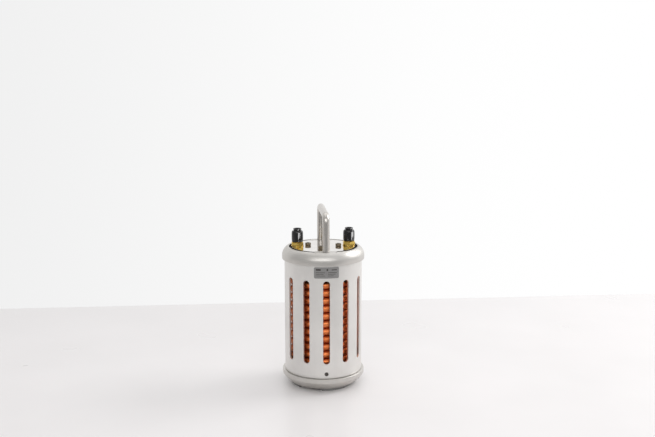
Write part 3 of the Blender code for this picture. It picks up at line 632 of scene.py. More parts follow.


# %% [markdown]
# ## Repeating with Geometry Nodes
#
# Slots, pads and screws repeat round the can's axis. One small tree does all of them: it
# makes `Count` points at the origin, puts a copy of the piece on each, turned a little
# further every time, makes the copies real and welds what touches. The piece itself is drawn
# once, at its place at the front. A loop in Python would do too; here the tree's modifier is
# applied at once, so each piece keeps only the mesh it made.

# %% Tree: repeat round the axis
def round_axis_tree():
    """Geometry tree with inputs Count, First Turn, Weld and Material."""
    tree = bpy.data.node_groups.new("repeat round axis", "GeometryNodeTree")
    face = tree.interface
    face.new_socket("Geometry", in_out="INPUT", socket_type="NodeSocketGeometry")
    face.new_socket("Count", in_out="INPUT", socket_type="NodeSocketInt")
    face.new_socket("First Turn", in_out="INPUT", socket_type="NodeSocketFloat")
    face.new_socket("Weld", in_out="INPUT", socket_type="NodeSocketFloat")
    face.new_socket("Material", in_out="INPUT", socket_type="NodeSocketMaterial")
    face.new_socket("Geometry", in_out="OUTPUT", socket_type="NodeSocketGeometry")
    given = add(tree, "NodeGroupInput").outputs
    points = add(tree, "GeometryNodePoints", {"Count": given["Count"]})
    index = add(tree, "GeometryNodeInputIndex")
    step = add(tree, "ShaderNodeMath", {0: math.tau, 1: given["Count"]}, operation="DIVIDE")
    turn = add(tree, "ShaderNodeMath", {
        0: index.outputs[0], 1: step.outputs[0], 2: given["First Turn"]},
        operation="MULTIPLY_ADD")
    angles = add(tree, "ShaderNodeCombineXYZ", {"Z": turn.outputs[0]})
    rotation = add(tree, "FunctionNodeEulerToRotation", {0: angles.outputs[0]})
    copies = add(tree, "GeometryNodeInstanceOnPoints", {
        "Points": points.outputs[0], "Instance": given["Geometry"],
        "Rotation": rotation.outputs[0]})
    real = add(tree, "GeometryNodeRealizeInstances", {0: copies.outputs[0]})
    welded = add(tree, "GeometryNodeMergeByDistance", {
        "Geometry": real.outputs[0], "Distance": given["Weld"]})
    painted = add(tree, "GeometryNodeSetMaterial", {
        "Geometry": welded.outputs[0], "Material": given["Material"]})
    add(tree, "NodeGroupOutput", {0: painted.outputs[0]})
    return tree


# %% [markdown]
# A tube or bar follows a path. The second tree takes a chain of edges, turns it into a curve,
# stores how far along the path each point is, and sweeps a circle over it. The same tree
# makes the copper coil and the handle, so both carry the attributes `along` and `around` that
# their finishes use.

# %% Tree: tube on a path
def tube_tree():
    """Geometry tree with inputs Radius, Sides and Material."""
    tree = bpy.data.node_groups.new("tube on path", "GeometryNodeTree")
    face = tree.interface
    face.new_socket("Geometry", in_out="INPUT", socket_type="NodeSocketGeometry")
    face.new_socket("Radius", in_out="INPUT", socket_type="NodeSocketFloat")
    face.new_socket("Sides", in_out="INPUT", socket_type="NodeSocketInt")
    face.new_socket("Material", in_out="INPUT", socket_type="NodeSocketMaterial")
    face.new_socket("Geometry", in_out="OUTPUT", socket_type="NodeSocketGeometry")
    given = add(tree, "NodeGroupInput").outputs
    path = add(tree, "GeometryNodeMeshToCurve", {0: given["Geometry"]})
    length = add(tree, "GeometryNodeSplineParameter")
    marked = add(tree, "GeometryNodeStoreNamedAttribute", {
        "Geometry": path.outputs[0], "Name": "along", "Value": length.outputs["Length"]},
        data_type="FLOAT", domain="POINT")
    ring = add(tree, "GeometryNodeCurvePrimitiveCircle", {
        "Resolution": given["Sides"], "Radius": given["Radius"]})
    ring_length = add(tree, "GeometryNodeSplineParameter")
    ring_marked = add(tree, "GeometryNodeStoreNamedAttribute", {
        "Geometry": ring.outputs[0], "Name": "around",
        "Value": ring_length.outputs["Length"]}, data_type="FLOAT", domain="POINT")
    tube = add(tree, "GeometryNodeCurveToMesh", {
        "Curve": marked.outputs[0], "Profile Curve": ring_marked.outputs[0],
        "Fill Caps": True})
    real = add(tree, "GeometryNodeRealizeInstances", {0: tube.outputs[0]})
    painted = add(tree, "GeometryNodeSetMaterial", {
        "Geometry": real.outputs[0], "Material": given["Material"]})
    add(tree, "NodeGroupOutput", {0: painted.outputs[0]})
    return tree


ROUND_AXIS = round_axis_tree()
TUBE = tube_tree()


# %% Helper: run a tree on a piece
def grown(piece, tree, crease_deg=32.0, **inputs):
    """Run a geometry tree on a piece, with its inputs set, and keep the plain mesh."""
    step = piece.modifiers.new(tree.name, "NODES")
    step.node_group = tree
    for item in tree.interface.items_tree:
        key = item.name.replace(" ", "_")
        if item.in_out == "INPUT" and key in inputs:
            step[item.identifier] = inputs[key]
    return frozen(piece, crease_deg)


# %% [markdown]
# ## The shell
#
# Twelve slots are milled into the tube. A Boolean on a round tube leaves long thin triangles
# that shade badly, so the shell is drawn as one flat panel with its slot, bent onto the
# cylinder and repeated twelve times. In the panel, rings of points run round the slot: the
# inmost follows the slot, the outmost follows the panel's rectangle, and the ones between
# are blends. Every face is then a clean four-sided one. Solidify gives the wall and Bevel
# breaks the milled edges.

# %% One panel of the shell
def panel_outlines():
    """Points round the slot and matching points on the panel's border, in (across, up)."""
    half_panel = math.pi / SLOT_COUNT * shell.radius
    half_slot = SLOT_WIDTH / 2
    low = shell.bottom + SLOT_ABOVE_FOOT + half_slot
    high = shell.top - SLOT_BELOW_TOP - half_slot
    inner, outer = [], []

    def arc(centre, border, first, last, steps):
        for k in range(steps):
            angle = first + (last - first) * k / steps
            c, s = math.cos(angle), math.sin(angle)
            inner.append((half_slot * c, centre + half_slot * s))
            reach = min(half_panel / max(abs(c), 1e-9), abs(border - centre) / max(abs(s), 1e-9))
            outer.append((reach * c, centre + reach * s))

    def side(sign, start, end, steps):
        for k in range(steps):
            up = start + (end - start) * k / steps
            inner.append((sign * half_slot, up))
            outer.append((sign * half_panel, up))

    corner = math.atan2(shell.top - high, half_panel)
    foot_corner = math.atan2(low - shell.bottom, half_panel)
    side(1, low, high, 16)
    arc(high, shell.top, 0.0, corner, 6)
    arc(high, shell.top, corner, math.pi - corner, 10)
    arc(high, shell.top, math.pi - corner, math.pi, 6)
    side(-1, high, low, 16)
    arc(low, shell.bottom, math.pi, math.pi + foot_corner, 6)
    arc(low, shell.bottom, math.pi + foot_corner, math.tau - foot_corner, 10)
    arc(low, shell.bottom, math.tau - foot_corner, math.tau, 6)
    return inner, outer


def shell_panel():
    """Open curved panel with one slot, at the front."""
    inner, outer = panel_outlines()
    shares = (0.0, 0.07, 0.16, 0.28, 0.42, 0.56, 0.70, 0.85, 1.0)
    work = bmesh.new()
    rings = []
    for share in shares:
        ring = []
        for (a, b), (c, d) in zip(inner, outer):
            across = a + (c - a) * share
            up = b + (d - b) * share
            turn = across / shell.radius
            place = (shell.radius * math.sin(turn), -shell.radius * math.cos(turn), up)
            ring.append(work.verts.new(place))
        rings.append(ring)
    count = len(inner)
    for here, there in zip(rings, rings[1:]):
        for k in range(count):
            n = (k + 1) % count
            work.faces.new((here[k], there[k], there[n], here[n]))
    return mesh_object("shell", work)


# %% Wall, screw holes and broken edges
def screw_axis(node):
    """Outward direction and outer face centre of a radial screw, in millimetres."""
    low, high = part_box(node)
    middle = (low + high) / 2 / MM
    out = Vector((middle.x, middle.y, 0.0)).normalized()
    return out, out * shell.radius + Vector((0.0, 0.0, middle.z))


def laid_along(out, place):
    """Matrix that takes what was drawn along +Z to a place, pointing outwards."""
    return Matrix.Translation(place) @ out.to_track_quat("Z", "Y").to_matrix().to_4x4()


BASE_SCREWS = tuple(f"base_screw_{i}" for i in (1, 2, 3))
CAP_SCREWS = tuple(f"cap_screw_{i}" for i in (1, 2, 3))
HEAD_R = 2.8
HEAD_GAP = 0.25


def drill(piece, names, radius, length):
    """Cut a round hole through a piece for each radial screw."""
    drills = bmesh.new()
    for name in names:
        out, place = screw_axis(name)
        one = bmesh.new()
        bmesh.ops.create_cone(one, cap_ends=True, segments=40, radius1=radius,
                              radius2=radius, depth=length)
        one.transform(laid_along(out, place))
        mesh = stored_mesh("drill", one)
        drills.from_mesh(mesh)
        bpy.data.meshes.remove(mesh)
    return cut_with(piece, mesh_object("drills", drills), "DIFFERENCE")


panel = shell_panel()
shell_piece = grown(panel, ROUND_AXIS, Count=SLOT_COUNT, Weld=0.00001, Material=ANODISED)
wall = shell_piece.modifiers.new("Wall", "SOLIDIFY")
wall.thickness = SHELL_WALL * MM
wall.offset = -1.0
wall.use_even_offset = True
edges = shell_piece.modifiers.new("Broken edges", "BEVEL")
edges.width = 0.35 * MM
edges.segments = 3
edges.limit_method = "ANGLE"
edges.angle_limit = math.radians(50)
shell_piece = frozen(shell_piece)
shell_piece = drill(shell_piece, BASE_SCREWS + CAP_SCREWS, HEAD_R + HEAD_GAP, 16.0)
finish(shell_piece, ANODISED, "root", "satin_aluminium", "shell_tube")


# %% [markdown]
# ## Base and cap
#
# Both castings are turned: a straight rim, a shoulder and a flat end. The shoulder is a
# shallow arc, flatter than a quarter circle, so a line stays where it meets the rim. The
# base's shoulder is steeper than the cap's, so one function takes its three sizes.
# Inside, each casting has a spigot that goes into the tube and a web across the middle.

# %% The shoulder
CASTING_GAP = 0.5             # the base's rim stays this far below the tube


def shoulder(edge_r, rim_height, bulge, steps=14):
    """(radius, distance from the flat end) along the shoulder, flat end first."""
    start = Vector((edge_r, 0.0))
    end = Vector((cap.radius, shell.bottom - CASTING_GAP - base.bottom - rim_height))
    along = end - start
    outward = Vector((along.y, -along.x)).normalized()
    points = []
    for i in range(steps + 1):
        share = i / steps
        points.append(start + along * share + outward * 4 * share * (1 - share) * bulge)
    return [(point.x, point.y) for point in points]


SPIGOT_R = shell.radius - SHELL_WALL - 0.3
SPIGOT_INNER = SPIGOT_R - SPIGOT_WALL


# %% The base
BASE_WEB = (12.0, 17.0)       # heights of the web's two faces
BASE_RING_INNER = 39.5        # the flat ring that the pads stick to starts here
ROD_HOLE_R = 4.3              # the tie rod of the magnet core passes through here


def base_section():
    """Flat ring, shoulder, rim with a small step, spigot and web."""
    rim_top = shell.bottom - CASTING_GAP
    web_bottom, web_top = BASE_WEB
    corners = [(SPIGOT_INNER, base.top, 0.5), (SPIGOT_R, base.top, 0.5), (SPIGOT_R, rim_top),
               (cap.radius, rim_top, 0.7)]
    corners += [(radius, base.bottom + depth)
                for radius, depth in reversed(shoulder(*BASE_SHOULDER))]
    corners += [(BASE_RING_INNER, base.bottom, 0.6), (BASE_RING_INNER, web_bottom, 1.5),
                (ROD_HOLE_R, web_bottom, 0.3), (ROD_HOLE_R, web_top, 0.3),
                (SPIGOT_INNER, web_top, 1.5)]
    return corners


base_piece = turned_piece("base", base_section(), sides=144)
finish(base_piece, TURNED, "root", "turned_aluminium", "base_cap")


# %% [markdown]
# The cap has the same outside, a recess for the cover disc, and two lugs that reach into the
# recess under the handle's feet. The lugs are blocks with rounded inner corners, welded on
# with a Boolean: they only meet flat and round faces there, so the join stays clean. The
# groove that the disc leaves open gets a dark metal on its faces: painted shade for the
# shadow down in it.

# %% The cap
GROOVE_R = 46.0
CAP_WEB = 7.5


def cap_section():
    """Crown, shoulder, rim, spigot and web."""
    rim_bottom = shell.top + 0.3
    web_top = cap.top - RECESS_DEPTH
    web_bottom = web_top - CAP_WEB
    corners = [(0.0, web_top), (GROOVE_R, web_top), (RECESS_R, web_top),
               (RECESS_R, cap.top, 0.5)]
    corners += [(radius, cap.top - depth) for radius, depth in shoulder(*CAP_SHOULDER)]
    corners += [(cap.radius, rim_bottom, 0.7), (SPIGOT_R, rim_bottom),
                (SPIGOT_R, cap.bottom, 0.5), (SPIGOT_INNER, cap.bottom, 0.5),
                (SPIGOT_INNER, web_bottom, 1.0), (0.0, web_bottom)]
    return corners


def lug_outline(corner=3.0, steps=8):
    """Outline of one lug: flat inner side with rounded corners, outer side in the wall."""
    half = LUG_WIDTH / 2
    outer = RECESS_R + 1.2
    points = [(-half, outer), (half, outer)]
    for start in (0.0, -math.pi / 2):
        side = half - corner if start == 0.0 else corner - half
        for i in range(steps + 1):
            angle = start - math.pi / 2 * i / steps
            points.append((side + corner * math.cos(angle),
                           LUG_INNER_Y + corner + corner * math.sin(angle)))
    return points


def lug_block():
    """Both lugs as one mesh object."""
    work = bmesh.new()
    bottom = disc.bottom - 1.3
    for side in (-1, 1):
        low = [work.verts.new((x * side, y * side, bottom)) for x, y in lug_outline()]
        high = [work.verts.new((x * side, y * side, cap.top)) for x, y in lug_outline()]
        work.faces.new(low)
        work.faces.new(high)
        for k in range(len(low)):
            n = (k + 1) % len(low)
            work.faces.new((low[k], low[n], high[n], high[k]))
    bmesh.ops.recalc_face_normals(work, faces=work.faces)
    return mesh_object("lugs", work)


def paint_groove_shade(piece, inner, outer, low, high):
    """Give the dark painted-shade metal to the faces in a ring, between two radii and two heights.
    """
    piece.data.materials.append(GROOVE)
    for face in piece.data.polygons:
        away = math.hypot(face.center.x, face.center.y) / MM
        if inner < away < outer and low < face.center.z / MM < high:
            face.material_index = 1
    print("painted shade faces:", sum(face.material_index for face in piece.data.polygons))


cap_piece = turned_piece("cap", cap_section(), sides=144)
cap_piece = cut_with(cap_piece, lug_block(), "UNION", 28.0)
finish(cap_piece, TURNED, "root", "turned_aluminium", "top_cap")
# Painted shade on the groove's floor and wall round the disc.
paint_groove_shade(cap_piece, GROOVE_R, RECESS_R + 0.1, cap.top - RECESS_DEPTH - 0.1, cap.top - 0.6)


# %% [markdown]
# ## Cover disc
#
# The disc is flat sheet with a cut outline, so it is a filled two-dimensional curve: one
# closed spline for the rim with its two notches, and one circle for each hole. The curve's
# own bevel rounds the sheared edge all the way round, which no Boolean gives for free. The
# disc lies flush with the cap, and the open groove round it reads as a dark line, darkened
# further by painted shade on the disc's rim.

# %% The cover disc
EDGE = 0.35                   # radius of the sheared edge
LUG_GAP = 0.4
STUD_HOLE_R = 6.8
SCREW_HOLE_R = 2.8


def flat_spline(curve, points):
    """Closed polygon in a flat curve, in millimetres."""
    spline = curve.splines.new("POLY")
    spline.points.add(len(points) - 1)
    for target, (x, y) in zip(spline.points, points):
        target.co = (x * MM, y * MM, 0.0, 1.0)
    spline.use_cyclic_u = True


def disc_rim():
    """Outline of the disc: a circle with two notches that clear the lugs."""
    half = LUG_WIDTH / 2 + LUG_GAP + EDGE
    radius = disc.radius - EDGE
    inner = LUG_INNER_Y - LUG_GAP - EDGE
    corner = 2.6
    edge_turn = math.acos(half / radius)
    points = []
    for side in (1, -1):
        for k in range(49):
            angle = -edge_turn + 2 * edge_turn * k / 48
            points.append((side * radius * math.cos(angle), side * radius * math.sin(angle)))
        for k in range(7):
            angle = math.pi / 2 * k / 6
            points.append((side * (half - corner + corner * math.cos(angle)),
                           side * (inner + corner - corner * math.sin(angle))))
        for k in range(7):
            angle = math.pi / 2 * (1 - k / 6)
            points.append((side * (-half + corner - corner * math.cos(angle)),
                           side * (inner + corner - corner * math.sin(angle))))
    return points


def circle(x, y, radius, steps=40):
    """Points of a circle."""
    turns = [math.tau * k / steps for k in range(steps)]
    return [(x + radius * math.cos(t), y + radius * math.sin(t)) for t in turns]


sheet = bpy.data.curves.new("cover_disc_sheet", "CURVE")
sheet.dimensions = "2D"
sheet.fill_mode = "BOTH"
sheet.extrude = (disc.height / 2 - EDGE) * MM
sheet.bevel_depth = EDGE * MM
sheet.bevel_resolution = 2
flat_spline(sheet, disc_rim())
for label in SIDES:
    port = Span(f"port_stud_{label}")
    flat_spline(sheet, circle(port.x, port.y, STUD_HOLE_R + EDGE))
for name in HUB_SCREWS:
    screw = Span(name)
    flat_spline(sheet, circle(screw.x, screw.y, SCREW_HOLE_R + EDGE))
disc_piece = frozen(scene_object("polished_disc", sheet))
disc_piece.data.transform(Matrix.Translation((0, 0, (disc.top + disc.bottom) / 2 * MM)))
finish(disc_piece, POLISHED, "root", "polished_steel", "cover_disc")
# Painted shade on the disc's rim edge, down in the groove's shadow.
paint_groove_shade(disc_piece, GROOVE_R, math.inf, -math.inf, disc.top - 0.1)


# %% [markdown]
# ## Handle
#
# The handle is a round bar bent twice. Its path is a chain of points with an arc at each
# bend, and the tube tree sweeps the bar over it.

# %% The handle
def chain(name, points):
    """Object that holds a path as a chain of edges, in metres."""
    mesh = bpy.data.meshes.new(name)
    edges = [(i, i + 1) for i in range(len(points) - 1)]
    mesh.from_pydata([Vector(point) * MM for point in points], edges, [])
    return scene_object(name, mesh)


def handle_path(bend_steps=14):
    """Front foot, up, over and down to the rear foot."""
    top = handle.top - BAR_R
    points = [(0.0, -LEG_Y, handle.bottom)]
    for side in (-1, 1):
        arc = []
        for i in range(bend_steps + 1):
            angle = math.pi / 2 * i / bend_steps
            arc.append((0.0, side * (LEG_Y - BEND_R + BEND_R * math.cos(angle)),
                        top - BEND_R + BEND_R * math.sin(angle)))
        points += arc if side < 0 else reversed(arc)
    points.append((0.0, LEG_Y, handle.bottom))
    return points


handle_piece = grown(chain("bar_handle", handle_path()), TUBE, Radius=BAR_R * MM, Sides=48,
                     Material=BAR)
finish(handle_piece, BAR, "root", "bar_aluminium", "handle")


# %% [markdown]
# ## Copper coil
#
# One tube runs the whole way: down from the right port inside the winding, out to the lowest
# turn, eleven turns up, and over to the left port. Every stretch follows a rule, so the path is
# worked out: a helix for the winding, quarter bends where it leaves, and a smooth shift of
# radius between them. A screw modifier could make the helix, but not its ends in one piece.

# %% The coil's path
COIL_TUBE_R = 5.5
COIL_R = coil.radius - COIL_TUBE_R + 0.2
COIL_PITCH = 11.4
COIL_FRONT_Z = 43.0
COIL_START_DEG = 66.0
COIL_END_DEG = 4115.0
COIL_FINISH_DEG = 4140.0
RISER_R = 31.6
RISER_DROP = 2.2              # the riser's foot is this far below the winding's start
JOG_TOP, JOG_BOTTOM = 182.0, 163.0
TAIL = 16.0
TAIL_TOP = 183.0
POINTS_PER_TURN = 48
PORT_X = Span("port_stud_right").x


def winding(angle_deg, radius, height):
    """Point at an angle counted from +X."""
    angle = math.radians(angle_deg)
    return Vector((radius * math.cos(angle), radius * math.sin(angle), height))


def helix_height(angle_deg):
    """Height of the winding at an angle."""
    return COIL_FRONT_Z + COIL_PITCH * (angle_deg - 270.0) / 360.0


def eased(share):
    """0 to 1 without a kink at either end."""
    return share * share * (3 - 2 * share)


def coil_path():
    """Riser, lowest run-in, winding and tail."""
    start_z, end_z = helix_height(COIL_START_DEG), helix_height(COIL_END_DEG)
    foot_z = start_z - RISER_DROP
    points = [Vector((PORT_X, 0.0, coil.top)), Vector((PORT_X, 0.0, JOG_TOP))]
    for i in range(1, 16):
        share = i / 16
        points.append(Vector((PORT_X + (RISER_R - PORT_X) * eased(share), 0.0,
                              JOG_TOP + (JOG_BOTTOM - JOG_TOP) * share)))
    points.append(Vector((RISER_R, 0.0, JOG_BOTTOM)))
    points.append(Vector((RISER_R, 0.0, (JOG_BOTTOM + foot_z) / 2)))
    turned_deg = math.degrees(TAIL / RISER_R)
    for i in range(17):
        angle = math.pi / 2 * i / 16
        points.append(winding(turned_deg * (1 - math.cos(angle)), RISER_R,
                              foot_z + TAIL * (1 - math.sin(angle))))
    for i in range(1, 16):
        share = i / 16
        points.append(winding(turned_deg + (COIL_START_DEG - turned_deg) * share,
                              RISER_R + (COIL_R - RISER_R) * eased(share),
                              foot_z + (start_z - foot_z) * share))
    count = round((COIL_END_DEG - COIL_START_DEG) / 360 * POINTS_PER_TURN)
    for i in range(count + 1):
        angle = COIL_START_DEG + (COIL_END_DEG - COIL_START_DEG) * i / count
        points.append(winding(angle, COIL_R, helix_height(angle)))
    for i in range(1, 17):
        angle = math.pi / 2 * i / 16
        points.append(winding(
            COIL_END_DEG + (COIL_FINISH_DEG - COIL_END_DEG) * math.sin(angle),
            COIL_R + (PORT_X - COIL_R) * eased(i / 16),
            end_z + TAIL * (1 - math.cos(angle))))
    points.append(Vector((-PORT_X, 0.0, TAIL_TOP)))
    points.append(Vector((-PORT_X, 0.0, coil.top)))
    return points


coil_piece = grown(chain("coil", coil_path()), TUBE, Radius=COIL_TUBE_R * MM, Sides=24,
                   Material=COPPER)
finish(coil_piece, COPPER, "root", "copper", "copper_coil")


# %% [markdown]
# ## Ports
#
# A push-in port has four visible pieces: a flat brass washer, a brass stud with a hexagon, a
# glossy black body and a release collar in its mouth. The hexagon's corners are cut by a
# turned chamfer, as on any bar-turned nut, which gives the curved edges on its flats: the
# prism is intersected with a spun cone.

# %% Helper: hexagon with turned corners
def hexagon_piece(name, flats, bottom, top, bore, centre, chamfer=0.8):
    """Hexagonal ring whose upper and lower corners are turned off."""
    corner_r = flats / 2 / math.cos(math.pi / 6)
    prism = bmesh.new()
    bmesh.ops.create_cone(prism, cap_ends=True, segments=6, radius1=corner_r,
                          radius2=corner_r, depth=top - bottom)
    bmesh.ops.translate(prism, verts=prism.verts,
                        vec=(centre[0], centre[1], (top + bottom) / 2))
    made = mesh_object(name, prism)
    edge = flats / 2 - 0.1
    section = [(bore, top, 0.25), (edge, top), (corner_r + 0.05, top - chamfer),
               (corner_r + 0.05, bottom + chamfer), (edge, bottom), (bore, bottom, 0.25)]
    work = bmesh.new()
    spun(work, rounded(section), centre, 72)
    return cut_with(made, mesh_object(name + "_turning", work), "INTERSECT", 20.0)


def merged(name, pieces):
    """One object from several finished meshes."""
    work = bmesh.new()
    for piece in pieces:
        work.from_mesh(piece.data)
        bpy.data.objects.remove(piece)
    return scene_object(name, stored_mesh(name, work))


# %% Brass stud and washer
HEX_AF = 17.0
SHANK_R = 6.5
TUBE_BORE = 3.0
COIL_BORE = COIL_TUBE_R + 0.3


def port_stud(label):
    """Hexagon with the threaded shank below it and the plain boss above."""
    stud = Span(f"port_stud_{label}")
    washer = Span(f"port_washer_{label}")
    body = Span(f"port_body_{label}")
    hex_bottom, hex_top = washer.top + 0.3, body.bottom - 0.3
    centre = (stud.x, 0.0)
    hexagon = hexagon_piece(f"stud_hex_{label}", HEX_AF, hex_bottom, hex_top, TUBE_BORE, centre)
    section = [(TUBE_BORE, stud.top, 0.2), (6.6, stud.top, 0.4), (6.6, hex_top - 0.5),
               (TUBE_BORE, hex_top - 0.5)]
    boss = turned_piece(f"stud_boss_{label}", section, centre, 48)
    tube_seat = coil.top + 0.3
    thread = [(TUBE_BORE, hex_bottom + 0.5), (SHANK_R - 0.5, hex_bottom + 0.5)]
    pitch = 1.337                       # quarter-inch pipe thread, 19 turns to the inch
    turns = int((hex_bottom - stud.bottom - 1.0) / pitch)
    for i in range(turns):
        height = hex_bottom - 0.6 - i * pitch
        thread += [(SHANK_R - 0.55, height), (SHANK_R, height - pitch * 0.35),
                   (SHANK_R, height - pitch * 0.5), (SHANK_R - 0.55, height - pitch * 0.85)]
    thread += [(SHANK_R - 0.5, stud.bottom, 0.3), (COIL_BORE, stud.bottom), (COIL_BORE, tube_seat),
               (TUBE_BORE, tube_seat)]
    shank = turned_piece(f"stud_shank_{label}", thread, centre, 48)
    made = merged(f"brass_stud_{label}", [hexagon, boss, shank])
    return finish(made, BRASS, "root", "brass", f"port_stud_{label}")


for label in SIDES:
    port_stud(label)
    ring = Span(f"port_washer_{label}")
    washer_piece = turned_piece(f"brass_washer_{label}", [
        (6.8, ring.top, 0.2), (ring.radius, ring.top, 0.35), (ring.radius, ring.bottom, 0.35),
        (6.8, ring.bottom, 0.2)], (ring.x, 0.0))
    finish(washer_piece, BRASS, "root", "brass", f"port_washer_{label}")


# %% [markdown]
# The body is a barrel: it swells a little in the middle, has a soft shoulder and a shallow
# groove near its foot where the mould's ejector sleeve meets it. The collar's flange is
# rounded so that a thumb can press it, and its mouth is flared to guide the tube.

# %% Black body and release collar
def port_body(label):
    """Barrel with rounded shoulder, foot groove and lipped mouth."""
    body = Span(f"port_body_{label}")
    foot, top, wide = body.bottom, body.top, body.radius
    lip, chamber, boss = 5.5, 6.3, 6.9
    boss_top = foot + 5.0
    lip_bottom = top - 2.7
    section = [(lip, top, 0.3), (wide - 1.5, top, 0.9), (wide - 0.35, top - 1.6, 1.2),
               (wide - 0.1, top - 4.0, 1.5), (wide, top - 7.5, 2.0), (wide - 0.1, foot + 3.4),
               (wide - 0.16, foot + 2.7, 0.1), (wide - 0.5, foot + 2.5, 0.1),
               (wide - 0.5, foot + 2.0, 0.1), (wide - 0.2, foot + 1.8, 0.1),
               (wide - 0.4, foot + 0.5, 0.5), (wide - 0.9, foot, 0.3), (boss, foot, 0.2),
               (boss, boss_top), (chamber, boss_top), (chamber, lip_bottom),
               (lip, lip_bottom, 0.2)]
    made = turned_piece(f"black_body_{label}", section, (body.x, 0.0), 96)
    return finish(made, POLYMER, "root", "black_polymer", f"port_body_{label}")


def release_collar(label):
    """Flange, sleeve and the bead that holds the collar in its body."""
    collar = Span(f"release_collar_{label}")
    body = Span(f"port_body_{label}")
    hole, sleeve, bead = 4.15, 5.1, 5.85
    bead_top = body.top - 3.0
    flange_bottom = body.top + 1.6
    top, wide = collar.top, collar.radius
    section = [(hole, top - 0.9, 0.3), (hole + 0.7, top, 0.3), (wide, top, 0.55),
               (wide, flange_bottom, 0.4), (sleeve, flange_bottom, 0.3), (sleeve, bead_top),
               (bead, bead_top, 0.2), (bead, bead_top - 1.0, 0.2), (sleeve, collar.bottom, 0.2),
               (hole, collar.bottom, 0.2)]
    made = turned_piece(f"push_collar_{label}", section, (collar.x, 0.0), 72)
    return finish(made, POLYMER, f"collar_{label}", "black_polymer", f"release_collar_{label}")


for label in SIDES:
    port_body(label)
    release_collar(label)


# %% [markdown]
# ## Screws
#
# The four cap screws on the disc share one drawing: a chamfered head with a fine knurl, a
# hexagon socket and a shank. The knurl repeats thirty times round the head, so it is one
# small groove on a rib that the round-axis tree repeats. The screws are then placed at the
# CAD screws' own axes.

# %% Cap screw
HEAD = 3.5
CAP_HEAD_R = 4.25
KNURLS = 30
SOCKET_AF = 4.0
SOCKET_DEPTH = 1.9


def head_wedge(radius, bottom, top):
    """One knurl rib of a screw head's side, with the chamfer above it, at the front."""
    work = bmesh.new()
    half = math.pi / KNURLS
    depth = 0.12
    chamfer = 0.5
    outline = [(-1.0, depth), (-0.5, 0.0), (0.5, 0.0), (1.0, depth)]
    rows = [(bottom, 0.25), (bottom + 0.3, 0.0), (top - chamfer, 0.0), (top, chamfer)]
    grid = []
    for height, inset in rows:
        line = []
        for share, cut in outline:
            turn = share * half
            reach = radius - inset - (cut if inset == 0.0 else 0.0)
            line.append(work.verts.new((reach * math.sin(turn), -reach * math.cos(turn),
                                        height)))
        grid.append(line)
    for low, high in zip(grid, grid[1:]):
        for k in range(len(outline) - 1):
            work.faces.new((low[k], low[k + 1], high[k + 1], high[k]))
    return mesh_object("knurl", work)


def cap_screw_mesh(shank_length):
    """Cap screw standing on the origin, in metres: its mesh is shared by its copies."""
    side = grown(head_wedge(CAP_HEAD_R, 0.0, HEAD), ROUND_AXIS, Count=KNURLS, Weld=0.000004,
                 Material=STEEL)
    work = bmesh.new()
    work.from_mesh(side.data)
    bpy.data.objects.remove(side)
    bmesh.ops.scale(work, verts=work.verts, vec=(1 / MM,) * 3)
    open_edges = [edge for edge in work.edges if edge.is_boundary]
    bmesh.ops.holes_fill(work, edges=open_edges, sides=0)
    shank = bmesh.new()
    spun(shank, rounded([(0.0, -shank_length), (2.1, -shank_length, 0.2),
                         (2.5, -shank_length + 0.6), (2.5, 0.3), (0.0, 0.3)]), sides=24)
    mesh = stored_mesh("shank", shank)
    bmesh.ops.recalc_face_normals(work, faces=work.faces)
    head = mesh_object("screw_head", work)
    socket = bmesh.new()
    corner_r = SOCKET_AF / 2 / math.cos(math.pi / 6)
    bmesh.ops.create_cone(socket, cap_ends=True, segments=6, radius1=corner_r,
                          radius2=corner_r, depth=2 * SOCKET_DEPTH)
    bmesh.ops.translate(socket, verts=socket.verts, vec=(0, 0, HEAD))
    head = cut_with(head, mesh_object("socket", socket), "DIFFERENCE", 25.0)
    whole = bmesh.new()
    whole.from_mesh(mesh)
    bmesh.ops.scale(whole, verts=whole.verts, vec=(MM,) * 3)
    whole.from_mesh(head.data)
    bpy.data.objects.remove(head)
    made = stored_mesh("cap_screw", whole)
    made.shade_smooth()
    made.set_sharp_from_angle(angle=math.radians(25))
    return made


def hub_screws():
    """The four screws on the disc, as one piece."""
    first = Span(HUB_SCREWS[0])
    drawing = cap_screw_mesh(first.height - HEAD)
    work = bmesh.new()
    for number, name in enumerate(HUB_SCREWS):
        screw = Span(name)
        copy = drawing.copy()
        place = Matrix.Translation(Vector((screw.x, screw.y, screw.top - HEAD)) * MM)
        copy.transform(place @ Matrix.Rotation(0.4 + number * 1.3, 4, "Z"))
        work.from_mesh(copy)
        bpy.data.meshes.remove(copy)
    mesh = stored_mesh("disc_cap_screws", work)
    mesh.set_sharp_from_angle(angle=math.radians(25))
    return finish(scene_object("disc_cap_screws", mesh), BURNISHED, "root", "bright_steel",
                  *HUB_SCREWS)


hub_screws()


# %% [markdown]
# The shell's small screws are countersunk and blackened, with a hexagon socket. One is drawn
# along +Z and then laid on each screw's axis.

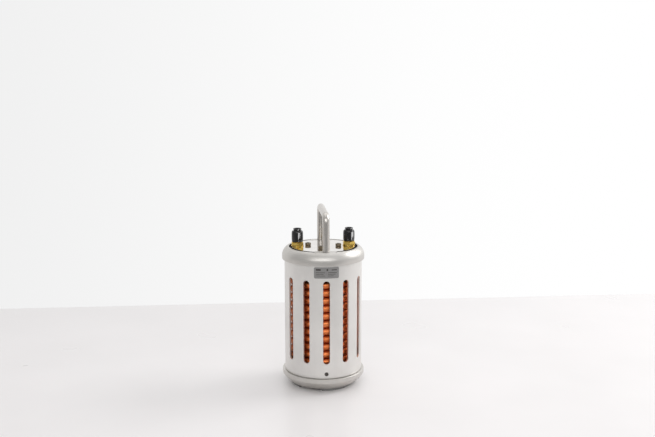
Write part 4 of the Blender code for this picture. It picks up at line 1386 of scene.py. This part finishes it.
# %% Radial screws
def radial_screws(name, nodes):
    """Countersunk screws through the shell."""
    whole = bmesh.new()
    for node in nodes:
        out, place = screw_axis(node)
        work = bmesh.new()
        spun(work, rounded([(0.0, -6.8), (1.4, -6.8, 0.2), (1.4, -2.4), (HEAD_R, -1.0, 0.1),
                            (HEAD_R, -0.02, 0.3), (0.0, -0.02)]), sides=48)
        shaft = mesh_object("screw", work)
        key = bmesh.new()
        bmesh.ops.create_cone(key, cap_ends=True, segments=6, radius1=1.15, radius2=1.15,
                              depth=3.0)
        shaft = cut_with(shaft, mesh_object("key", key), "DIFFERENCE")
        shaft.data.transform(laid_along(out, place * MM))
        whole.from_mesh(shaft.data)
        bpy.data.objects.remove(shaft)
    mesh = stored_mesh(name, whole)
    mesh.set_sharp_from_angle(angle=math.radians(30))
    return finish(scene_object(name, mesh), BLACK_STEEL, "root", "black_steel", *nodes)


radial_screws("shell_screws_low", BASE_SCREWS)
radial_screws("shell_screws_high", CAP_SCREWS)


# %% [markdown]
# ## Rating plate
#
# A thin foil plate follows the shell. It is a flat rounded rectangle, bent by turning its
# width into an angle, with a thickness. It carries its own UV map, because the print must
# stay put on it.

# %% The plate
def rating_plate():
    """Bent foil plate with rounded corners and a UV map named plate."""
    columns, rows = 40, 12
    radius = shell.radius + 0.3
    width = 2 * math.asin(plate.radius / (radius + 0.6)) * radius
    height = plate.height
    corner = 1.2
    work = bmesh.new()
    uv_layer = work.loops.layers.uv.new("plate")
    shares = {}
    grid = []
    for j in range(rows + 1):
        line = []
        up = (j / rows - 0.5) * height
        inset = 0.0
        reach = height / 2 - abs(up)
        if reach < corner:
            inset = corner - math.sqrt(max(corner ** 2 - (corner - reach) ** 2, 0.0))
        for i in range(columns + 1):
            across = (i / columns - 0.5) * (width - 2 * inset)
            turn = across / radius
            vert = work.verts.new((radius * math.sin(turn), -radius * math.cos(turn),
                                   (plate.top + plate.bottom) / 2 + up))
            shares[vert] = (across / width + 0.5, up / height + 0.5)
            line.append(vert)
        grid.append(line)
    for low, high in zip(grid, grid[1:]):
        for i in range(columns):
            face = work.faces.new((low[i], low[i + 1], high[i + 1], high[i]))
            for loop in face.loops:
                loop[uv_layer].uv = shares[loop.vert]
    made = mesh_object("foil_plate", work)
    thick = made.modifiers.new("Foil", "SOLIDIFY")
    thick.thickness = 0.5 * MM
    thick.offset = 1.0
    edge = made.modifiers.new("Edge", "BEVEL")
    edge.width = 0.12 * MM
    edge.segments = 2
    edge.angle_limit = math.radians(60)
    return finish(frozen(made), PRINTED, "root", "plate_grey", "rating_plate")


rating_plate()


# %% [markdown]
# ## Pads
#
# Four arc-shaped rubber pads carry the can. One pad is drawn at the front and the round-axis
# tree repeats it, turned so that the first one lands where the CAD pad is.

# %% The pads
FIRST_PAD_DEG = 15.0
PAD_HALF_DEG = 22.5
PAD_INNER_R, PAD_OUTER_R = 40.5, 47.0


def pad_piece():
    """Four pads with rounded edges."""
    pads = tuple(f"foot_pad_{i}" for i in (1, 2, 3, 4))
    low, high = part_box(pads[0])
    middle = (low + high) / 2
    top = high.z / MM
    half = math.radians(PAD_HALF_DEG)
    steps = 24
    section = rounded([(PAD_INNER_R, 0.0, 0.5), (PAD_OUTER_R, 0.0, 0.5),
                       (PAD_OUTER_R, top, 0.3), (PAD_INNER_R, top, 0.3)])
    work = bmesh.new()
    rings = []
    for k in range(steps + 1):
        turn = -half + 2 * half * k / steps
        rings.append([work.verts.new((p.x * math.sin(turn), -p.x * math.cos(turn), p.y))
                      for p in section])
    for here, there in zip(rings, rings[1:]):
        for k in range(len(section)):
            n = (k + 1) % len(section)
            work.faces.new((here[k], there[k], there[n], here[n]))
    work.faces.new(rings[0])
    work.faces.new(rings[-1])
    bmesh.ops.recalc_face_normals(work, faces=work.faces)
    made = mesh_object("rubber_pads", work)
    made = grown(made, ROUND_AXIS, Count=len(pads), First_Turn=math.radians(FIRST_PAD_DEG),
                 Weld=0.000001, Material=RUBBER)
    print("first pad middle", round(middle.x / MM, 1), round(middle.y / MM, 1))
    return finish(made, RUBBER, "root", "grey_rubber", *pads)


pad_piece()


# %% [markdown]
# ## Inner pieces
#
# The magnet core, the nuts and the seals stay as the CAD model has them, and only take a
# finish: they sit inside the winding or under the cap, where nothing but a glint is seen.

# %% Finishes for the inner pieces
INNER = {
    STEEL: ["handle_screw_front", "handle_screw_rear", "core_sleeve", "core_plug", "tie_rod",
            "tie_washer", "tie_nut", "grab_ring_left", "grab_ring_right"]
           + [f"pole_plate_{i}" for i in range(1, 7)],
    NICKEL: [f"ring_magnet_{i}" for i in range(1, 6)],
    BRASS: [f"{kind}_{label}" for kind in ("back_nut", "coil_nut", "olive")
            for label in SIDES],
    RUBBER: ["tube_seal_left", "tube_seal_right"],
    ANODISED: ["core_spacer"],
    TURNED: ["hub_flange"],
}
for material, names in INNER.items():
    for name in names:
        node = frame["nodes"][name]
        node.data.materials.clear()
        node.data.materials.append(material)
print("inner pieces:", sum(len(names) for names in INNER.values()))


# %% [markdown]
# ## Table, light and camera
#
# The can stands on a white table with white behind it. A world that is bright behind and to
# the right and dimmer at the camera's side gives the metal something to reflect, and one
# large soft light from the right and a little behind throws the pale shadow to the left.
#
# Five more lights reach only some pieces, through light linking: two put the soft streaks
# on the black ports, and three reach the coil inside its slots, as a photographer's
# reflectors would. Brighter lights for the whole scene would bleach the shell first.

# %% The table
def table():
    """White tabletop with a rounded rear edge."""
    work = bmesh.new()
    left, right, front, rear, radius = -2600.0, 2600.0, -430.0, 460.0, 12.0
    outline = [(front, 0.0)]
    for k in range(9):
        angle = math.pi / 2 * (1 - k / 8)
        outline.append((rear - radius + radius * math.cos(angle),
                        radius * math.sin(angle) - radius))
    outline.append((rear, -400.0))
    for (y0, z0), (y1, z1) in zip(outline, outline[1:]):
        corners = [(left, y0, z0), (right, y0, z0), (right, y1, z1), (left, y1, z1)]
        work.faces.new([work.verts.new(corner) for corner in corners])
    bmesh.ops.remove_doubles(work, verts=work.verts, dist=0.01)
    return mesh_object("table", work)


def white_laminate():
    """White table laminate: slightly glossy, very slightly uneven."""
    made, tree, shader = new_material("white laminate", Roughness=0.3, Specular_IOR_Level=0.35)
    place = add(tree, "ShaderNodeTexCoord").outputs["Object"]
    soft = add(tree, "ShaderNodeTexNoise", {"Vector": place, "Scale": 6.0, "Detail": 2.0})
    tree.links.new(ramp(tree, soft.outputs[0], 0.3, 0.7, colour("#ebe8e8"), colour("#efecec")),
                   shader.inputs["Base Color"])
    tree.links.new(ramp(tree, soft.outputs[0], 0.3, 0.7, 0.27, 0.33),
                   shader.inputs["Roughness"])
    return made


table_piece = table()
table_piece.data.materials.append(white_laminate())


# %% The world
SKY_LEFT = 0.50
SKY_RIGHT = 0.68
SKY_TOP = 0.55
FRONT_LOW = 0.34
FRONT_HIGH = 0.56
BACK_LEFT = 0.86
BACK_RIGHT = 1.0


def blend_towards(tree, sky, part, low, high, tone):
    """Mix a grey into the sky where one part of the direction passes from low to high."""
    share = add(tree, "ShaderNodeMapRange", {"Value": part, "From Min": low, "From Max": high},
                interpolation_type="SMOOTHSTEP")
    return add(tree, "ShaderNodeMix", {
        "Factor": share.outputs["Result"], 2: sky, 3: tone}).outputs[0]


def studio_world():
    """Bright behind and at the right, mid grey at the left, dark at the camera's side."""
    world = bpy.data.worlds.new("studio")
    bpy.context.scene.world = world
    world.use_nodes = True
    tree = world.node_tree
    direction = add(tree, "ShaderNodeTexCoord").outputs["Generated"]
    parts = add(tree, "ShaderNodeSeparateXYZ", {0: direction})
    x, y, z = parts.outputs
    sky = blend_towards(tree, SKY_LEFT, x, -0.3, 0.8, SKY_RIGHT)
    sky = blend_towards(tree, sky, z, 0.35, 0.8, SKY_TOP)
    front = blend_towards(tree, FRONT_LOW, z, -0.05, 0.3, FRONT_HIGH)
    sky = blend_towards(tree, sky, y, -0.55, -0.85, front)
    behind = blend_towards(tree, BACK_LEFT, x, -0.45, 0.35, BACK_RIGHT)
    share = add(tree, "ShaderNodeMapRange", {"Value": y, "From Min": 0.1, "From Max": 0.5},
                interpolation_type="SMOOTHSTEP")
    sky = add(tree, "ShaderNodeMix", {
        "Factor": share.outputs["Result"], 2: sky, 3: behind}).outputs[0]
    tree.links.new(sky, tree.nodes["Background"].inputs["Color"])


def soft_light(name, place, target, width, height, watts):
    """Area light at a place, turned to a target."""
    data = bpy.data.lights.new(name, "AREA")
    data.shape = "RECTANGLE"
    data.size = width
    data.size_y = height
    data.energy = watts
    made = scene_object(name, data)
    made.location = place
    made.rotation_euler = (Vector(target) - Vector(place)).to_track_quat("-Z", "Y").to_euler()
    return made


def light_only(light, *names):
    """Let a light reach some pieces only."""
    lit = bpy.data.collections.new("lit by " + light.name)
    for name in names:
        lit.objects.link(bpy.data.objects[name])
    light.light_linking.receiver_collection = lit


# %% The lights
MIDDLE = (0.0, 0.0, 0.12)
GLINTS = (("left", 35.0, 0.75), ("right", 68.0, 0.9))      # port, angle, width in metres
COIL_LIGHTS = (("left", -60.0, 3.4), ("front", 0.0, 1.2), ("right", 55.0, 16.0))    # watts

studio_world()
soft_light("key", (1.5, 0.35, 1.15), MIDDLE, 0.9, 0.9, 11.0)
soft_light("front_high", (-0.15, -1.3, 0.8), MIDDLE, 1.5, 0.7, 5.0)
soft_light("top", (0.0, 0.1, 1.8), MIDDLE, 1.6, 1.6, 4.5)
for label, turn_deg, width in GLINTS:
    port = Span(f"port_body_{label}")
    turn = math.radians(turn_deg)
    target = Vector((port.x, 0.0, (port.bottom + port.top) / 2)) * MM
    place = target + Vector((math.sin(turn), -math.cos(turn), -0.19))
    glint = soft_light(f"glint_{label}", place, target, width, 0.7, 22.0)
    light_only(glint, f"black_body_{label}", f"push_collar_{label}")
for side, turn_deg, watts in COIL_LIGHTS:
    turn = math.radians(turn_deg)
    place = (math.sin(turn), -math.cos(turn), 0.3)
    light_only(soft_light(f"coil_{side}", place, MIDDLE, 1.0, 1.0, watts), "coil")


# %% [markdown]
# The camera stands a little to the left of the front and looks down at about ten degrees
# with a normal lens.

# %% The camera
CAMERA_PLACE = (-0.1044, -1.2464, 0.4600)
CAMERA_TURN_DEG = -5.08
CAMERA_PITCH_DEG = 9.66
LENS_MM = 47.6


def make_camera():
    """Camera at the viewing angle, with no shift and no depth of field."""
    data = bpy.data.cameras.new("camera")
    data.lens = LENS_MM
    data.sensor_width = 36.0
    made = scene_object("camera", data)
    made.location = CAMERA_PLACE
    made.rotation_euler = (math.radians(90.0 - CAMERA_PITCH_DEG), 0.0,
                           math.radians(CAMERA_TURN_DEG))
    bpy.context.scene.camera = made


make_camera()
bpy.context.scene.view_settings.view_transform = "Standard"
